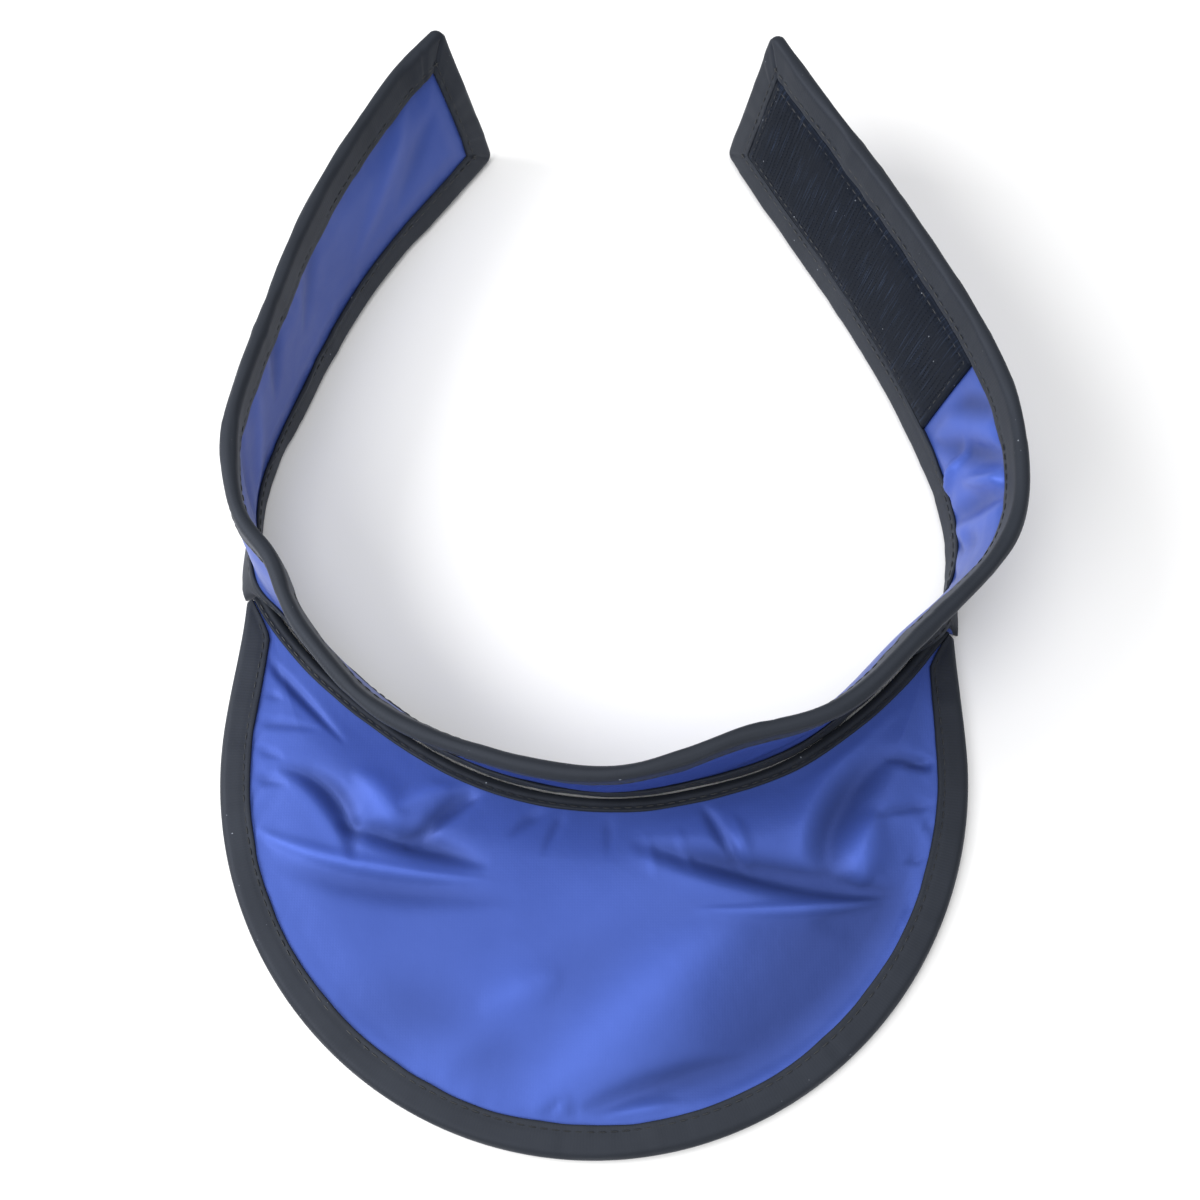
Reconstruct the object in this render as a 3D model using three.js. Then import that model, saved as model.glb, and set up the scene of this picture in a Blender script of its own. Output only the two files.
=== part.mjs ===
// Thyroid shield collar, in millimetres, +Z up, lying on a table as it is laid down when it is taken off.
//
// A long padded neck band stands on its lower edge in an open ring. Along its front it is sewn to a round
// padded bib, which lies flat towards -Y. Folded tape binds every edge: one tape runs all round the band,
// one round the bib's outer edge and one along its neckline. A hook patch on the inside of the band's
// right end closes on a loop patch on the outside of its left end.

import * as THREE from "three";

// Driving sizes
const bandLength = 623;
const bandHeight = 56.5;
const padThickness = 2;
const tapeThickness = 1;
const seatGap = 0.3;
const bandTapeWidth = 10;
const bibTapeWidth = 9;
const neckTapeWidth = 4.5;
const tapeRounding = 0.8;
const seamLength = 240;
const seamShift = -4.5;
const bibWidth = 223;
const bibCentreX = -3.8;
const bibSideLength = 40;
const bibRoundDepth = 115.5;
const bibCornerWidth = 7.8;
const hookLength = 118;
const loopLength = 150;
const patchThickness = 1.2;
const bibSwell = 1.5;
const foldHeight = 2;

// How finely the pieces are divided
const bandSteps = 72;
const bandMiddleRows = 4;
const bandEndSteps = 5;
const seamSteps = 44;
const rimSteps = 56;
const bibRows = 13;
const nearestSteps = 120;

const nylonBlue = 0x4b62c4;
const tapeBlack = 0x3a3e44;
const hookBlack = 0x262a32;
const loopBlack = 0x2f333b;

// The band from its left end (-1) over the middle of the front (0) to its right end (1).
// at: share of half the band's length. heading: degrees, where the lower edge runs, seen from above.
// lean: degrees that the band tips away from the neck. hollow: how far its middle bows in towards the
// neck, as a share of its height.
const bandCourse = [
  { at: -1.0, heading: -124, lean: 14, hollow: 0.0 },
  { at: -0.93, heading: -127, lean: 15, hollow: 0.01 },
  { at: -0.86, heading: -126, lean: 12, hollow: 0.01 },
  { at: -0.7, heading: -113, lean: 5, hollow: 0.0 },
  { at: -0.55, heading: -107, lean: -1, hollow: 0.0 },
  { at: -0.47, heading: -81, lean: -2, hollow: -0.01 },
  { at: -0.4, heading: -60, lean: 0, hollow: -0.01 },
  { at: -0.34, heading: -49, lean: 2, hollow: 0.0 },
  { at: -0.28, heading: -40, lean: 7, hollow: 0.01 },
  { at: -0.2, heading: -34, lean: 12, hollow: 0.02 },
  { at: -0.1, heading: -18, lean: 11, hollow: 0.01 },
  { at: 0.0, heading: -1, lean: 11, hollow: 0.0 },
  { at: 0.06, heading: 9, lean: 8, hollow: 0.0 },
  { at: 0.12, heading: 15, lean: 5, hollow: 0.01 },
  { at: 0.2, heading: 32, lean: 8, hollow: 0.03 },
  { at: 0.3, heading: 45, lean: 6, hollow: 0.06 },
  { at: 0.4, heading: 60, lean: 8, hollow: 0.01 },
  { at: 0.47, heading: 92, lean: 9, hollow: 0.0 },
  { at: 0.55, heading: 106, lean: 12, hollow: 0.0 },
  { at: 0.7, heading: 115, lean: 13, hollow: 0.01 },
  { at: 0.85, heading: 119, lean: 13, hollow: 0.0 },
  { at: 1.0, heading: 116, lean: 12, hollow: 0.0 },
];

// Folds in the bib's cloth. across and down: the middle of the fold, as shares of half the bib's width
// and of its depth below the widest line. turn: degrees from the X axis. long and wide: half lengths, as
// shares of half the bib's width. rise: share of the fold height, below zero for a dent.
const bibFolds = [
  { across: -0.67, down: -0.12, turn: -30, long: 0.2, wide: 0.08, rise: -0.9 },
  { across: -0.5, down: 0.02, turn: -12, long: 0.3, wide: 0.08, rise: 0.8 },
  { across: -0.36, down: -0.17, turn: 30, long: 0.18, wide: 0.08, rise: -0.7 },
  { across: 0.48, down: 0.08, turn: -7, long: 0.34, wide: 0.08, rise: -1.0 },
  { across: 0.68, down: 0.2, turn: 5, long: 0.3, wide: 0.1, rise: 0.7 },
  { across: 0.72, down: -0.12, turn: 62, long: 0.22, wide: 0.09, rise: -0.8 },
  { across: 0.1, down: 0.55, turn: 50, long: 0.4, wide: 0.16, rise: 0.6 },
  { across: 0.42, down: 0.5, turn: 45, long: 0.35, wide: 0.18, rise: -0.6 },
];

// Sizes that follow
const halfLength = bandLength / 2;
const halfPad = padThickness / 2;
const tapeInside = halfPad + seatGap;
const tapeOutside = tapeInside + tapeThickness;
const padInset = tapeThickness + seatGap;
const bibThickness = 2 * tapeOutside;
const walkSteps = Math.ceil(halfLength);
const toRadians = Math.PI / 180;
const mix = THREE.MathUtils.lerp;

// A column of the band's table as a smooth function of at
function readColumn(name) {
  const last = bandCourse.length - 1;
  const slopes = bandCourse.map((row, i) => {
    const before = bandCourse[Math.max(i - 1, 0)];
    const after = bandCourse[Math.min(i + 1, last)];
    return (after[name] - before[name]) / (after.at - before.at);
  });
  return (at) => {
    let i = 0;
    while (i < last - 1 && at > bandCourse[i + 1].at) i += 1;
    const from = bandCourse[i];
    const to = bandCourse[i + 1];
    const span = to.at - from.at;
    const t = THREE.MathUtils.clamp((at - from.at) / span, 0, 1);
    const leaving = slopes[i] * span * t * (1 - t) * (1 - t);
    const arriving = slopes[i + 1] * span * t * t * (1 - t);
    return mix(from[name], to[name], t * t * (3 - 2 * t)) + leaving - arriving;
  };
}

const headingAt = readColumn("heading");
const leanAt = readColumn("lean");
const hollowAt = readColumn("hollow");

// The plan of the band's lower edge, walked from the middle of the front to one end
function walkCourse(side) {
  const stride = bandLength / 2 / walkSteps;
  const course = [new THREE.Vector2(0, 0)];
  for (let i = 0; i < walkSteps; i += 1) {
    const heading = headingAt((side * (i + 0.5)) / walkSteps) * toRadians;
    const step = new THREE.Vector2(Math.cos(heading), Math.sin(heading));
    course.push(course[i].clone().addScaledVector(step, side * stride));
  }
  return course;
}

const leftCourse = walkCourse(-1);
const rightCourse = walkCourse(1);

function planAt(along) {
  const course = along < 0 ? leftCourse : rightCourse;
  const place = Math.min((Math.abs(along) / halfLength) * walkSteps, walkSteps);
  const i = Math.min(Math.floor(place), walkSteps - 1);
  return course[i].clone().lerp(course[i + 1], place - i);
}

// Level and square to the lower edge, away from the neck
function outwardAt(along) {
  const heading = headingAt(along / halfLength) * toRadians;
  return new THREE.Vector2(Math.sin(heading), -Math.cos(heading));
}

// The band's section: x runs outwards and y upwards. up is measured along the leaning, bowed section from
// its lower edge, and out is measured square to it, away from the neck.
function bowedPoint(along, up, out) {
  const lean = leanAt(along / halfLength) * toRadians;
  const bow = 4 * hollowAt(along / halfLength) * bandHeight;
  const share = up / bandHeight;
  const slope = (-bow * (1 - 2 * share)) / bandHeight;
  const square = new THREE.Vector2(1, -slope).normalize().multiplyScalar(out);
  const across = square.x - bow * share * (1 - share);
  const raised = square.y + up;
  return new THREE.Vector2(
    across * Math.cos(lean) + raised * Math.sin(lean),
    raised * Math.cos(lean) - across * Math.sin(lean),
  );
}

// The same, with the lower of the tape's two bottom corners on the table
function sectionPoint(along, up, out) {
  const corner = tapeOutside - tapeRounding;
  const lowest = Math.min(bowedPoint(along, 0, corner).y, bowedPoint(along, 0, -corner).y);
  const point = bowedPoint(along, up, out);
  point.y -= lowest;
  return point;
}

function bandPoint(along, up, out) {
  const section = sectionPoint(along, up, out);
  const plan = planAt(along).addScaledVector(outwardAt(along), section.x);
  return new THREE.Vector3(plan.x, plan.y, section.y);
}

// A closed body through rings of points. The rings join into a loop, or they end in flat faces, given as
// triangles of the first ring's points. Each step between rings is split into two triangles, the other way
// round on the turned sides of the ring, so that layers that face each other keep their gap.
function makeBody(rings, endFaces, turned = []) {
  const size = rings[0].length;
  const last = rings.length - 1;
  const joints = endFaces ? last : last + 1;
  const indices = [];
  for (let i = 0; i < joints; i += 1) {
    const here = i * size;
    const next = ((i + 1) % rings.length) * size;
    for (let j = 0; j < size; j += 1) {
      const k = (j + 1) % size;
      if (turned.includes(j)) {
        indices.push(here + j, next + j, here + k, here + k, next + j, next + k);
      } else {
        indices.push(here + j, next + j, next + k, here + j, next + k, here + k);
      }
    }
  }
  for (const [a, b, c] of endFaces ?? []) {
    indices.push(a, b, c);
    indices.push(last * size + a, last * size + c, last * size + b);
  }
  const geometry = new THREE.BufferGeometry().setFromPoints(rings.flat());
  geometry.setIndex(indices);
  geometry.computeVertexNormals();
  return geometry;
}

// The end of a layer whose ring goes along one side and comes back along the other
function layerEnd(size) {
  const faces = [];
  for (let i = 0; i < size / 2 - 1; i += 1) {
    const across = size - 1 - i;
    faces.push([i, i + 1, across], [i + 1, across - 1, across]);
  }
  return faces;
}

// Stations from one length to another in equal steps
function stations(from, to, steps) {
  return Array.from({ length: steps + 1 }, (_, i) => mix(from, to, i / steps));
}

// The sides of the tape's section that face the cloth
const tapeLiningSides = [6, 8];

// The section of folded tape. inset is measured from the bound edge into the cloth, out square to it.
// The legs reach the given width, and the fold leaves room for the cloth.
function tapeProfile(width) {
  return [
    { inset: width, out: tapeOutside },
    { inset: tapeRounding, out: tapeOutside },
    { inset: 0, out: tapeOutside - tapeRounding },
    { inset: 0, out: tapeRounding - tapeOutside },
    { inset: tapeRounding, out: -tapeOutside },
    { inset: width, out: -tapeOutside },
    { inset: width, out: -tapeInside },
    { inset: tapeThickness, out: -tapeInside },
    { inset: tapeThickness, out: tapeInside },
    { inset: width, out: tapeInside },
  ];
}

// A layer of cloth that follows the band, between two lengths, two heights and two depths
function bandLayer(lengths, heights, inner, outer) {
  const rings = lengths.map((along) => [
    ...heights.map((up) => bandPoint(along, up, outer)),
    ...heights.toReversed().map((up) => bandPoint(along, up, inner)),
  ]);
  return makeBody(rings, layerEnd(2 * heights.length));
}

// Shared by all that follows the band, so that its layers bend alike
const endStretch = 2 * bandTapeWidth;
const bandLengths = stations(endStretch - halfLength, halfLength - endStretch, bandSteps);
const bandHeights = stations(bandTapeWidth, bandHeight - bandTapeWidth, bandMiddleRows);

function neckBand() {
  const ends = [halfLength - bandTapeWidth, halfLength - padInset];
  const lengths = [-ends[1], -ends[0], ...bandLengths, ...ends];
  const heights = [padInset, ...bandHeights, bandHeight - padInset];
  return bandLayer(lengths, heights, -halfPad, halfPad);
}

// One tape all round the band, mitred at its four corners
function bandBinding() {
  const top = bandLengths.map((along) => ({ along, side: 1 }));
  const bottom = bandLengths.toReversed().map((along) => ({ along, side: -1 }));
  const rise = stations(-1, 1, bandEndSteps);
  const rings = [
    ...top.map(({ along, side }) => tapeOnEdge(along, side)),
    ...rise.toReversed().map((height) => tapeOnEnd(1, height)),
    ...bottom.map(({ along, side }) => tapeOnEdge(along, side)),
    ...rise.map((height) => tapeOnEnd(-1, height)),
  ];
  return makeBody(rings, undefined, tapeLiningSides);
}

// side is 1 on the upper edge and -1 on the lower
function tapeOnEdge(along, side) {
  return tapeProfile(bandTapeWidth).map(({ inset, out }) =>
    bandPoint(along, bandHeight / 2 + side * (bandHeight / 2 - inset), out));
}

// side is 1 at the right end and -1 at the left, and height runs from -1 at the lower corner to 1
function tapeOnEnd(side, height) {
  return tapeProfile(bandTapeWidth).map(({ inset, out }) =>
    bandPoint(side * (halfLength - inset), bandHeight / 2 + height * (bandHeight / 2 - inset), out));
}

// A patch between the tapes, from the tape at one end of the band: side is -1 or 1 for the end, and face
// is 1 for the outside of the band and -1 for its inside
function endPatch(length, side, face) {
  const start = halfLength - bandTapeWidth - seatGap;
  const lengthEnds = [side * start, side * (start - length)].sort((a, b) => a - b);
  const heightEnds = [bandTapeWidth + seatGap, bandHeight - bandTapeWidth - seatGap];
  const depths = [face * tapeInside, face * (tapeInside + patchThickness)].sort((a, b) => a - b);
  return bandLayer(between(lengthEnds, bandLengths), between(heightEnds, bandHeights), ...depths);
}

// The two ends and the stations between them, without those that would leave a sliver
function between([low, high], all) {
  const inside = all.filter((place) => place > low + seatGap && place < high - seatGap);
  return [low, ...inside, high];
}

// The bib's neckline lies against the band's foot. share runs from -1 at its left end to 1.
function alongSeam(share) {
  return seamShift + (share * seamLength) / 2;
}

function necklineAt(share) {
  const along = alongSeam(share);
  const reaches = stations(0, bibThickness, 4).map((up) => sectionPoint(along, up, tapeOutside).x);
  return planAt(along).addScaledVector(outwardAt(along), Math.max(...reaches) + seatGap);
}

function fromNeckline(share, distance) {
  return necklineAt(share).addScaledVector(outwardAt(alongSeam(share)), distance);
}

// The bib's outer edge runs from the left corner down the side, round the bottom and up to the right
// corner
const leftCorner = fromNeckline(-1, bibCornerWidth);
const rightCorner = fromNeckline(1, bibCornerWidth);
const widestY = (leftCorner.y + rightCorner.y) / 2 - bibSideLength;
const bottomY = widestY - bibRoundDepth;
const bibLeft = new THREE.Vector2(bibCentreX - bibWidth / 2, widestY);
const bibRight = new THREE.Vector2(bibCentreX + bibWidth / 2, widestY);

function sideCurve(corner, widest) {
  const third = (corner.y - widest.y) / 3;
  const nearCorner = new THREE.Vector2(mix(corner.x, widest.x, 0.12), corner.y - third);
  const nearWidest = new THREE.Vector2(widest.x, widest.y + third);
  return new THREE.CubicBezierCurve(corner, nearCorner, nearWidest, widest);
}

function upwards(curve) {
  return new THREE.CubicBezierCurve(curve.v3, curve.v2, curve.v1, curve.v0);
}

const rim = new THREE.CurvePath();
rim.add(sideCurve(leftCorner, bibLeft));
rim.add(new THREE.EllipseCurve(bibCentreX, widestY, bibWidth / 2, bibRoundDepth, Math.PI, 2 * Math.PI));
rim.add(upwards(sideCurve(rightCorner, bibRight)));

// Level and away from the outer edge, into the bib. At the corners it turns into the corner's own line.
function inwardAt(share) {
  const tangent = rim.getTangent(share);
  const square = new THREE.Vector2(-tangent.y, tangent.x);
  const end = share < 0.5 ? -1 : 1;
  const fromEnd = Math.min(share, 1 - share) * rim.getLength();
  const cornerLine = outwardAt(alongSeam(end)).negate();
  return cornerLine.lerp(square, THREE.MathUtils.smoothstep(fromEnd, 0, 2 * bibCornerWidth)).normalize();
}

function fromRim(share, distance) {
  return rim.getPoint(share).addScaledVector(inwardAt(share), distance);
}

// The outer tape narrows where the corner leaves it less room beside the neck tape
const neckPoints = stations(-1, 1, nearestSteps).map(necklineAt);
const rimPoints = stations(0, 1, nearestSteps).map((share) => rim.getPoint(share));

function nearest(place, points) {
  return Math.min(...points.map((point) => point.distanceTo(place)));
}

function rimTapeWidth(share) {
  const room = nearest(rim.getPoint(share), neckPoints) - neckTapeWidth - seatGap;
  return Math.min(bibTapeWidth, room);
}

function bibTape(shares, widthAt, placeAt) {
  const rings = shares.map((share) =>
    tapeProfile(widthAt(share)).map(({ inset, out }) => {
      const place = placeAt(share, inset);
      return new THREE.Vector3(place.x, place.y, tapeOutside + out);
    }),
  );
  const outline = tapeProfile(neckTapeWidth).map(({ inset, out }) => new THREE.Vector2(inset, out));
  return makeBody(rings, THREE.ShapeUtils.triangulateShape(outline, []), tapeLiningSides);
}

function bibEdgeBinding() {
  return bibTape(stations(1, 0, rimSteps), rimTapeWidth, fromRim);
}

function bibNeckBinding() {
  return bibTape(stations(-1, 1, seamSteps), () => neckTapeWidth, fromNeckline);
}

// How far the folds and the swell of the padding lift a place on the bib's front. Beside the tapes, for
// the given margin, the cloth lies flat.
function bibRelief(place, margin) {
  const halfWidth = bibWidth / 2;
  const x = (place.x - bibCentreX) / halfWidth;
  const y = (place.y - widestY) / halfWidth;
  let folds = 0;
  for (const fold of bibFolds) {
    const turn = fold.turn * toRadians;
    const right = x - fold.across;
    const above = y + (fold.down * bibRoundDepth) / halfWidth;
    const lengthwise = (right * Math.cos(turn) + above * Math.sin(turn)) / fold.long;
    const crosswise = (above * Math.cos(turn) - right * Math.sin(turn)) / fold.wide;
    folds += fold.rise * Math.exp(-lengthwise * lengthwise - crosswise * crosswise);
  }
  const fromNeck = nearest(place, neckPoints) - neckTapeWidth;
  const fromEdge = nearest(place, rimPoints) - bibTapeWidth;
  const free = THREE.MathUtils.smoothstep(Math.min(fromNeck, fromEdge) - margin, 0, bibTapeWidth);
  return free * (bibSwell + foldHeight * folds);
}

// The bib's padding fills the crescent between its two tapes, with a flat back
function bibPanel() {
  const margin = (2 * padInset) / seamLength;
  const rings = stations(1, 0, seamSteps).map((share) => {
    const top = fromNeckline(mix(-1 + margin, 1 - margin, share), padInset);
    const bottom = fromRim(mix(margin / 2, 1 - margin / 2, share), padInset);
    const places = stations(0, 1, bibRows).map((row) => top.clone().lerp(bottom, row));
    const spacing = top.distanceTo(bottom) / bibRows;
    const atHeight = (place, height) => new THREE.Vector3(place.x, place.y, height);
    return [
      ...places.map((place) => atHeight(place, tapeOutside + halfPad + bibRelief(place, spacing))),
      ...places.toReversed().map((place) => atHeight(place, tapeOutside - halfPad)),
    ];
  });
  return makeBody(rings, layerEnd(rings[0].length));
}

const nylon = new THREE.MeshStandardMaterial({ color: nylonBlue, roughness: 0.5, metalness: 0 });
const tape = new THREE.MeshStandardMaterial({ color: tapeBlack, roughness: 0.85, metalness: 0 });
const hook = new THREE.MeshStandardMaterial({ color: hookBlack, roughness: 0.7, metalness: 0 });
const loop = new THREE.MeshStandardMaterial({ color: loopBlack, roughness: 1, metalness: 0 });

function piece(name, geometry, material) {
  const mesh = new THREE.Mesh(geometry, material);
  mesh.name = name;
  return mesh;
}

const collar = new THREE.Group();
collar.add(
  piece("neck_band", neckBand(), nylon),
  piece("band_binding", bandBinding(), tape),
  piece("hook_patch", endPatch(hookLength, 1, -1), hook),
  piece("loop_patch", endPatch(loopLength, -1, 1), loop),
  piece("bib_panel", bibPanel(), nylon),
  piece("bib_edge_binding", bibEdgeBinding(), tape),
  piece("bib_neck_binding", bibNeckBinding(), tape),
);

// The origin is under the middle of the whole, on the table
const box = new THREE.Box3().setFromObject(collar, true);
const middle = box.getCenter(new THREE.Vector3());
collar.position.set(-middle.x, -middle.y, -box.min.z);

export default collar;
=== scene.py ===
import math
from collections import namedtuple

import bmesh
import bpy
import numpy as np
from bpy.props import FloatProperty, FloatVectorProperty, PointerProperty
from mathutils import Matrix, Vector


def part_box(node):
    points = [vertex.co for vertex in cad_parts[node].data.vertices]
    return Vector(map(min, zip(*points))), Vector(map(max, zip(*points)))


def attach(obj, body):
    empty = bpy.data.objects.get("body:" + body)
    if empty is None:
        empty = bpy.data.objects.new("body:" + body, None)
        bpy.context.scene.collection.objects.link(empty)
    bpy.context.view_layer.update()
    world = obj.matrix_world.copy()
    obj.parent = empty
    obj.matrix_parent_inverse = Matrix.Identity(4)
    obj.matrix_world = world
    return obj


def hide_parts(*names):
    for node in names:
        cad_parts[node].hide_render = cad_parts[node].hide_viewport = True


bl_info = {
    "name": "Thyroid shield collar",
    "version": (1, 0, 0),
    "blender": (4, 5, 0),
    "location": "View3D > Sidebar > Collar",
    "description": "Dresses a thyroid shield collar in coated nylon, binding tape and hook-and-loop tape",
    "category": "Object",
}

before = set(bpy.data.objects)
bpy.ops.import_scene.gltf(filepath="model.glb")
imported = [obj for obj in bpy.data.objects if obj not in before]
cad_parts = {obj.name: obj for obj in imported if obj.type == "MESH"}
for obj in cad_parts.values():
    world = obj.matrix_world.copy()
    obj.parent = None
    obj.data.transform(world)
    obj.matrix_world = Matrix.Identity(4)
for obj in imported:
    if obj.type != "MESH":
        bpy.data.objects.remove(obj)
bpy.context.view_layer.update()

MM = 0.001
BODY = "root"

# Where the band's lower edge runs, from its left end (-1) over the middle of the front (0) to its right
# end (1). heading and lean are in degrees, and hollow is a share of the band's height.
Course = namedtuple("Course", "at heading lean hollow")
BAND_COURSE = [
    Course(-1.0, -124, 14, 0.0),
    Course(-0.93, -127, 15, 0.01),
    Course(-0.86, -126, 12, 0.01),
    Course(-0.7, -113, 5, 0.0),
    Course(-0.55, -107, -1, 0.0),
    Course(-0.47, -81, -2, -0.01),
    Course(-0.4, -60, 0, -0.01),
    Course(-0.34, -49, 2, 0.0),
    Course(-0.28, -40, 7, 0.01),
    Course(-0.2, -34, 12, 0.02),
    Course(-0.1, -18, 11, 0.01),
    Course(0.0, -1, 11, 0.0),
    Course(0.06, 9, 8, 0.0),
    Course(0.12, 15, 5, 0.01),
    Course(0.2, 32, 8, 0.03),
    Course(0.3, 45, 6, 0.06),
    Course(0.4, 60, 8, 0.01),
    Course(0.47, 92, 9, 0.0),
    Course(0.55, 106, 12, 0.0),
    Course(0.7, 115, 13, 0.01),
    Course(0.85, 119, 13, 0.0),
    Course(1.0, 116, 12, 0.0),
]

# Where the band's wall bulges: the bulge's middle as along and up, its half lengths, and how far it goes away
# from the neck, or towards it below zero, all in millimetres
Push = namedtuple("Push", "along up long high out")
BAND_PUSHES = [
    Push(-134, -2, 11, 9, 4.6),
    Push(-126, 1, 8, 9, 4.4),
    Push(-112, 50, 11, 18, -2.6),
    Push(115, -1, 11, 9, 9.0),
    Push(165, 60, 45, 26, 1.9),
    Push(-305, 60, 40, 26, 2.4),
]

# Folds in cloth, in millimetres. A fold runs from its first place to its last and bends towards its middle
# one. wide is its half width in the middle and rise its height, below zero for a dent. tilt lifts its left
# side, seen from its start, and lowers the other.
Fold = namedtuple("Fold", "x1 y1 x2 y2 x3 y3 wide rise tilt", defaults=(0.0,))

# On the bib's front, in the part's frame
BIB_FOLDS = [
    Fold(-113, -20, -98, -36, -80, -54, 1.9, -1.2, -1.1),
    Fold(-112, -46, -99, -47, -88, -49, 1.3, -0.8),
    Fold(-110, -54, -103, -56, -98, -58, 1.2, -0.6),
    Fold(-110, -36, -104, -38, -100, -39, 1.2, -0.5),
    Fold(-110, -63, -103, -64, -96, -66, 1.5, -0.8),
    Fold(-100, -61, -80, -66, -76, -90, 4.2, -2.2, -2.8),
    Fold(-78, -61, -65, -69, -63, -83, 4.5, 1.7),
    Fold(-108, -78, -84, -92, -34, -95, 2.4, 1.7),
    Fold(-82, -78, -60, -86, -36, -91, 4.6, -2.2, -2.8),
    Fold(-98, -90, -70, -98, -28, -100, 4.5, -1.4),
    Fold(-33, -63, -48, -74, -61, -86, 3.2, -2.0, 2.2),
    Fold(-63, -73, -55, -67, -43, -65, 3.0, 1.2),
    Fold(-15, -68, -22, -75, -31, -82, 1.9, -1.1, 0.6),
    Fold(-12, -69, -16, -78, -21, -88, 1.5, -0.7, 0.4),
    Fold(-2, -72, -1, -80, -2, -88, 1.6, -0.5),
    Fold(24, -67, 31, -79, 37, -91, 2.1, -1.3, 1.0),
    Fold(34, -74, 37, -82, 40, -93, 2.2, 0.9),
    Fold(9, -80, 11, -88, 12, -95, 1.7, 0.5),
    Fold(18, -78, 20, -86, 23, -92, 1.7, 0.5),
    Fold(4, -84, 38, -97, 86, -100, 5.2, -2.4, -3.6),
    Fold(22, -103, 50, -105, 90, -98, 2.1, 1.5),
    Fold(62, -97, 58, -70, 88, -54, 6.0, -2.5),
    Fold(80, -58, 90, -57, 99, -63, 2.0, -1.7),
    Fold(72, -97, 70, -86, 78, -74, 5.0, 2.8),
    Fold(54, -92, 53, -66, 88, -40, 4.6, 1.2),
    Fold(99, -73, 90, -71, 76, -76, 1.8, -1.0, 0.4),
    Fold(99, -60, 92, -59, 86, -60, 1.2, -0.9),
    Fold(97, -78, 94, -78, 90, -79, 1.1, -0.8),
    Fold(97, -87, 91, -88, 84, -89, 1.2, -1.0),
    Fold(40, -104, -4, -116, -30, -168, 13.0, 1.0, 2.3),
    Fold(8, -166, 58, -134, 92, -80, 25.0, -3.0),
    Fold(-12, -160, 10, -150, 40, -144, 3.6, -1.9),
    Fold(-3, -160, 8, -158, 20, -156, 2.0, 1.2),
    Fold(-22, -165, -19, -159, -14, -154, 1.2, -1.0),
    Fold(-10, -165, -12, -159, -12, -153, 1.2, -0.9),
    Fold(-46, -151, -36, -146, -24, -138, 7.0, -0.8),
    Fold(-84, -130, -58, -132, -36, -130, 11.0, -1.0),
    Fold(55, -104, 75, -108, 94, -98, 6.5, -1.5),
    Fold(-38, -132, -26, -124, -14, -122, 6.0, 1.0),
]

# On the band's inner face, as along and up
INNER_FOLDS = [
    Fold(152, -10, 152, 30, 152, 70, 26.0, 2.0),
    Fold(188, 18, 172, 37, 162, 54, 4.2, -2.3, 2.6),
    Fold(177, 10, 156, 32, 147, 55, 4.6, -2.9, 3.8),
    Fold(157, 5, 162, 17, 168, 32, 2.2, 2.1),
    Fold(157, 24, 149, 38, 145, 55, 3.0, 2.4),
    Fold(151, 6, 144, 28, 141, 55, 4.2, -2.4, 2.8),
    Fold(142, 18, 137, 26, 132, 34, 2.8, -1.4),
    Fold(145, 5, 140, 14, 133, 24, 2.1, -1.4),
    Fold(134, 5, 129, 15, 123, 26, 2.3, -1.3),
    Fold(125, 10, 122, 26, 120, 40, 3.0, -1.0),
    Fold(-292, 50, -266, 32, -240, 20, 4.0, 0.8),
    Fold(-296, 36, -280, 30, -262, 18, 4.0, -0.7),
    Fold(-232, 52, -218, 38, -206, 28, 3.5, -1.0),
    Fold(-203, 54, -189, 44, -182, 26, 3.3, -1.4, 0.4),
    Fold(-178, 54, -170, 22, -150, 12, 4.5, 1.0),
    Fold(-162, 50, -150, 30, -142, 10, 3.0, -1.0),
]

# On the band's outer face, as along and up
OUTER_FOLDS = [
    Fold(-118, 8, -100, 24, -70, 34, 4.0, -1.0),
    Fold(-60, 14, -30, 26, 10, 30, 5.0, -0.9),
    Fold(30, 10, 60, 30, 110, 34, 5.0, -1.2, 0.4),
    Fold(90, 8, 120, 24, 150, 44, 4.0, 1.0),
    Fold(140, 48, 170, 30, 200, 14, 5.0, -1.0),
    Fold(210, 10, 235, 30, 262, 44, 5.0, 0.9),
    Fold(-150, 46, -140, 28, -128, 12, 3.5, -1.0),
]

# Unevenness in cloth and tape: its height and pitch in millimetres, and the seed of its noise
Wave = namedtuple("Wave", "height pitch seed")
BAND_GATHER = Wave(0.22, 3.1, 7)
BAND_SLACK = Wave(0.35, 17, 11)
BAND_TAPE_WANDER = (Wave(0.8, 21, 31), Wave(0.3, 6, 32))
BAND_TAPE_SEED = 33
PATCH_SLACK = Wave(0.15, 13, 51)
BIB_SLACK = Wave(0.5, 26, 71)
BIB_GATHER = Wave(0.4, 4.2, 72)
RIM_TAPE_WANDER = (Wave(0.35, 24, 81), Wave(0.15, 7, 82))
RIM_TAPE_SEED = 83
NECK_TAPE_WANDER = (Wave(0.15, 9, 91),)
NECK_TAPE_SEED = 93

# The same with the height as a share: of the gathers' height, and of the distance between hooks
GATHER_SPREAD = Wave(0.45, 31, 73)
HOOK_DRIFT = Wave(0.15, 2, 61)

# The same again, for every tape, where the tape's own seed is added
TAPE_GATHER = Wave(0.16, 2.9, 0)
TAPE_SLACK = Wave(0.22, 11, 1)
TAPE_UNEVEN = (Wave(0.3, 23, 2), Wave(0.12, 7, 3))
TAPE_PUCKER = Wave(0.5, 5.3, 5)
PUCKER_LEAST = 0.55

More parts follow.
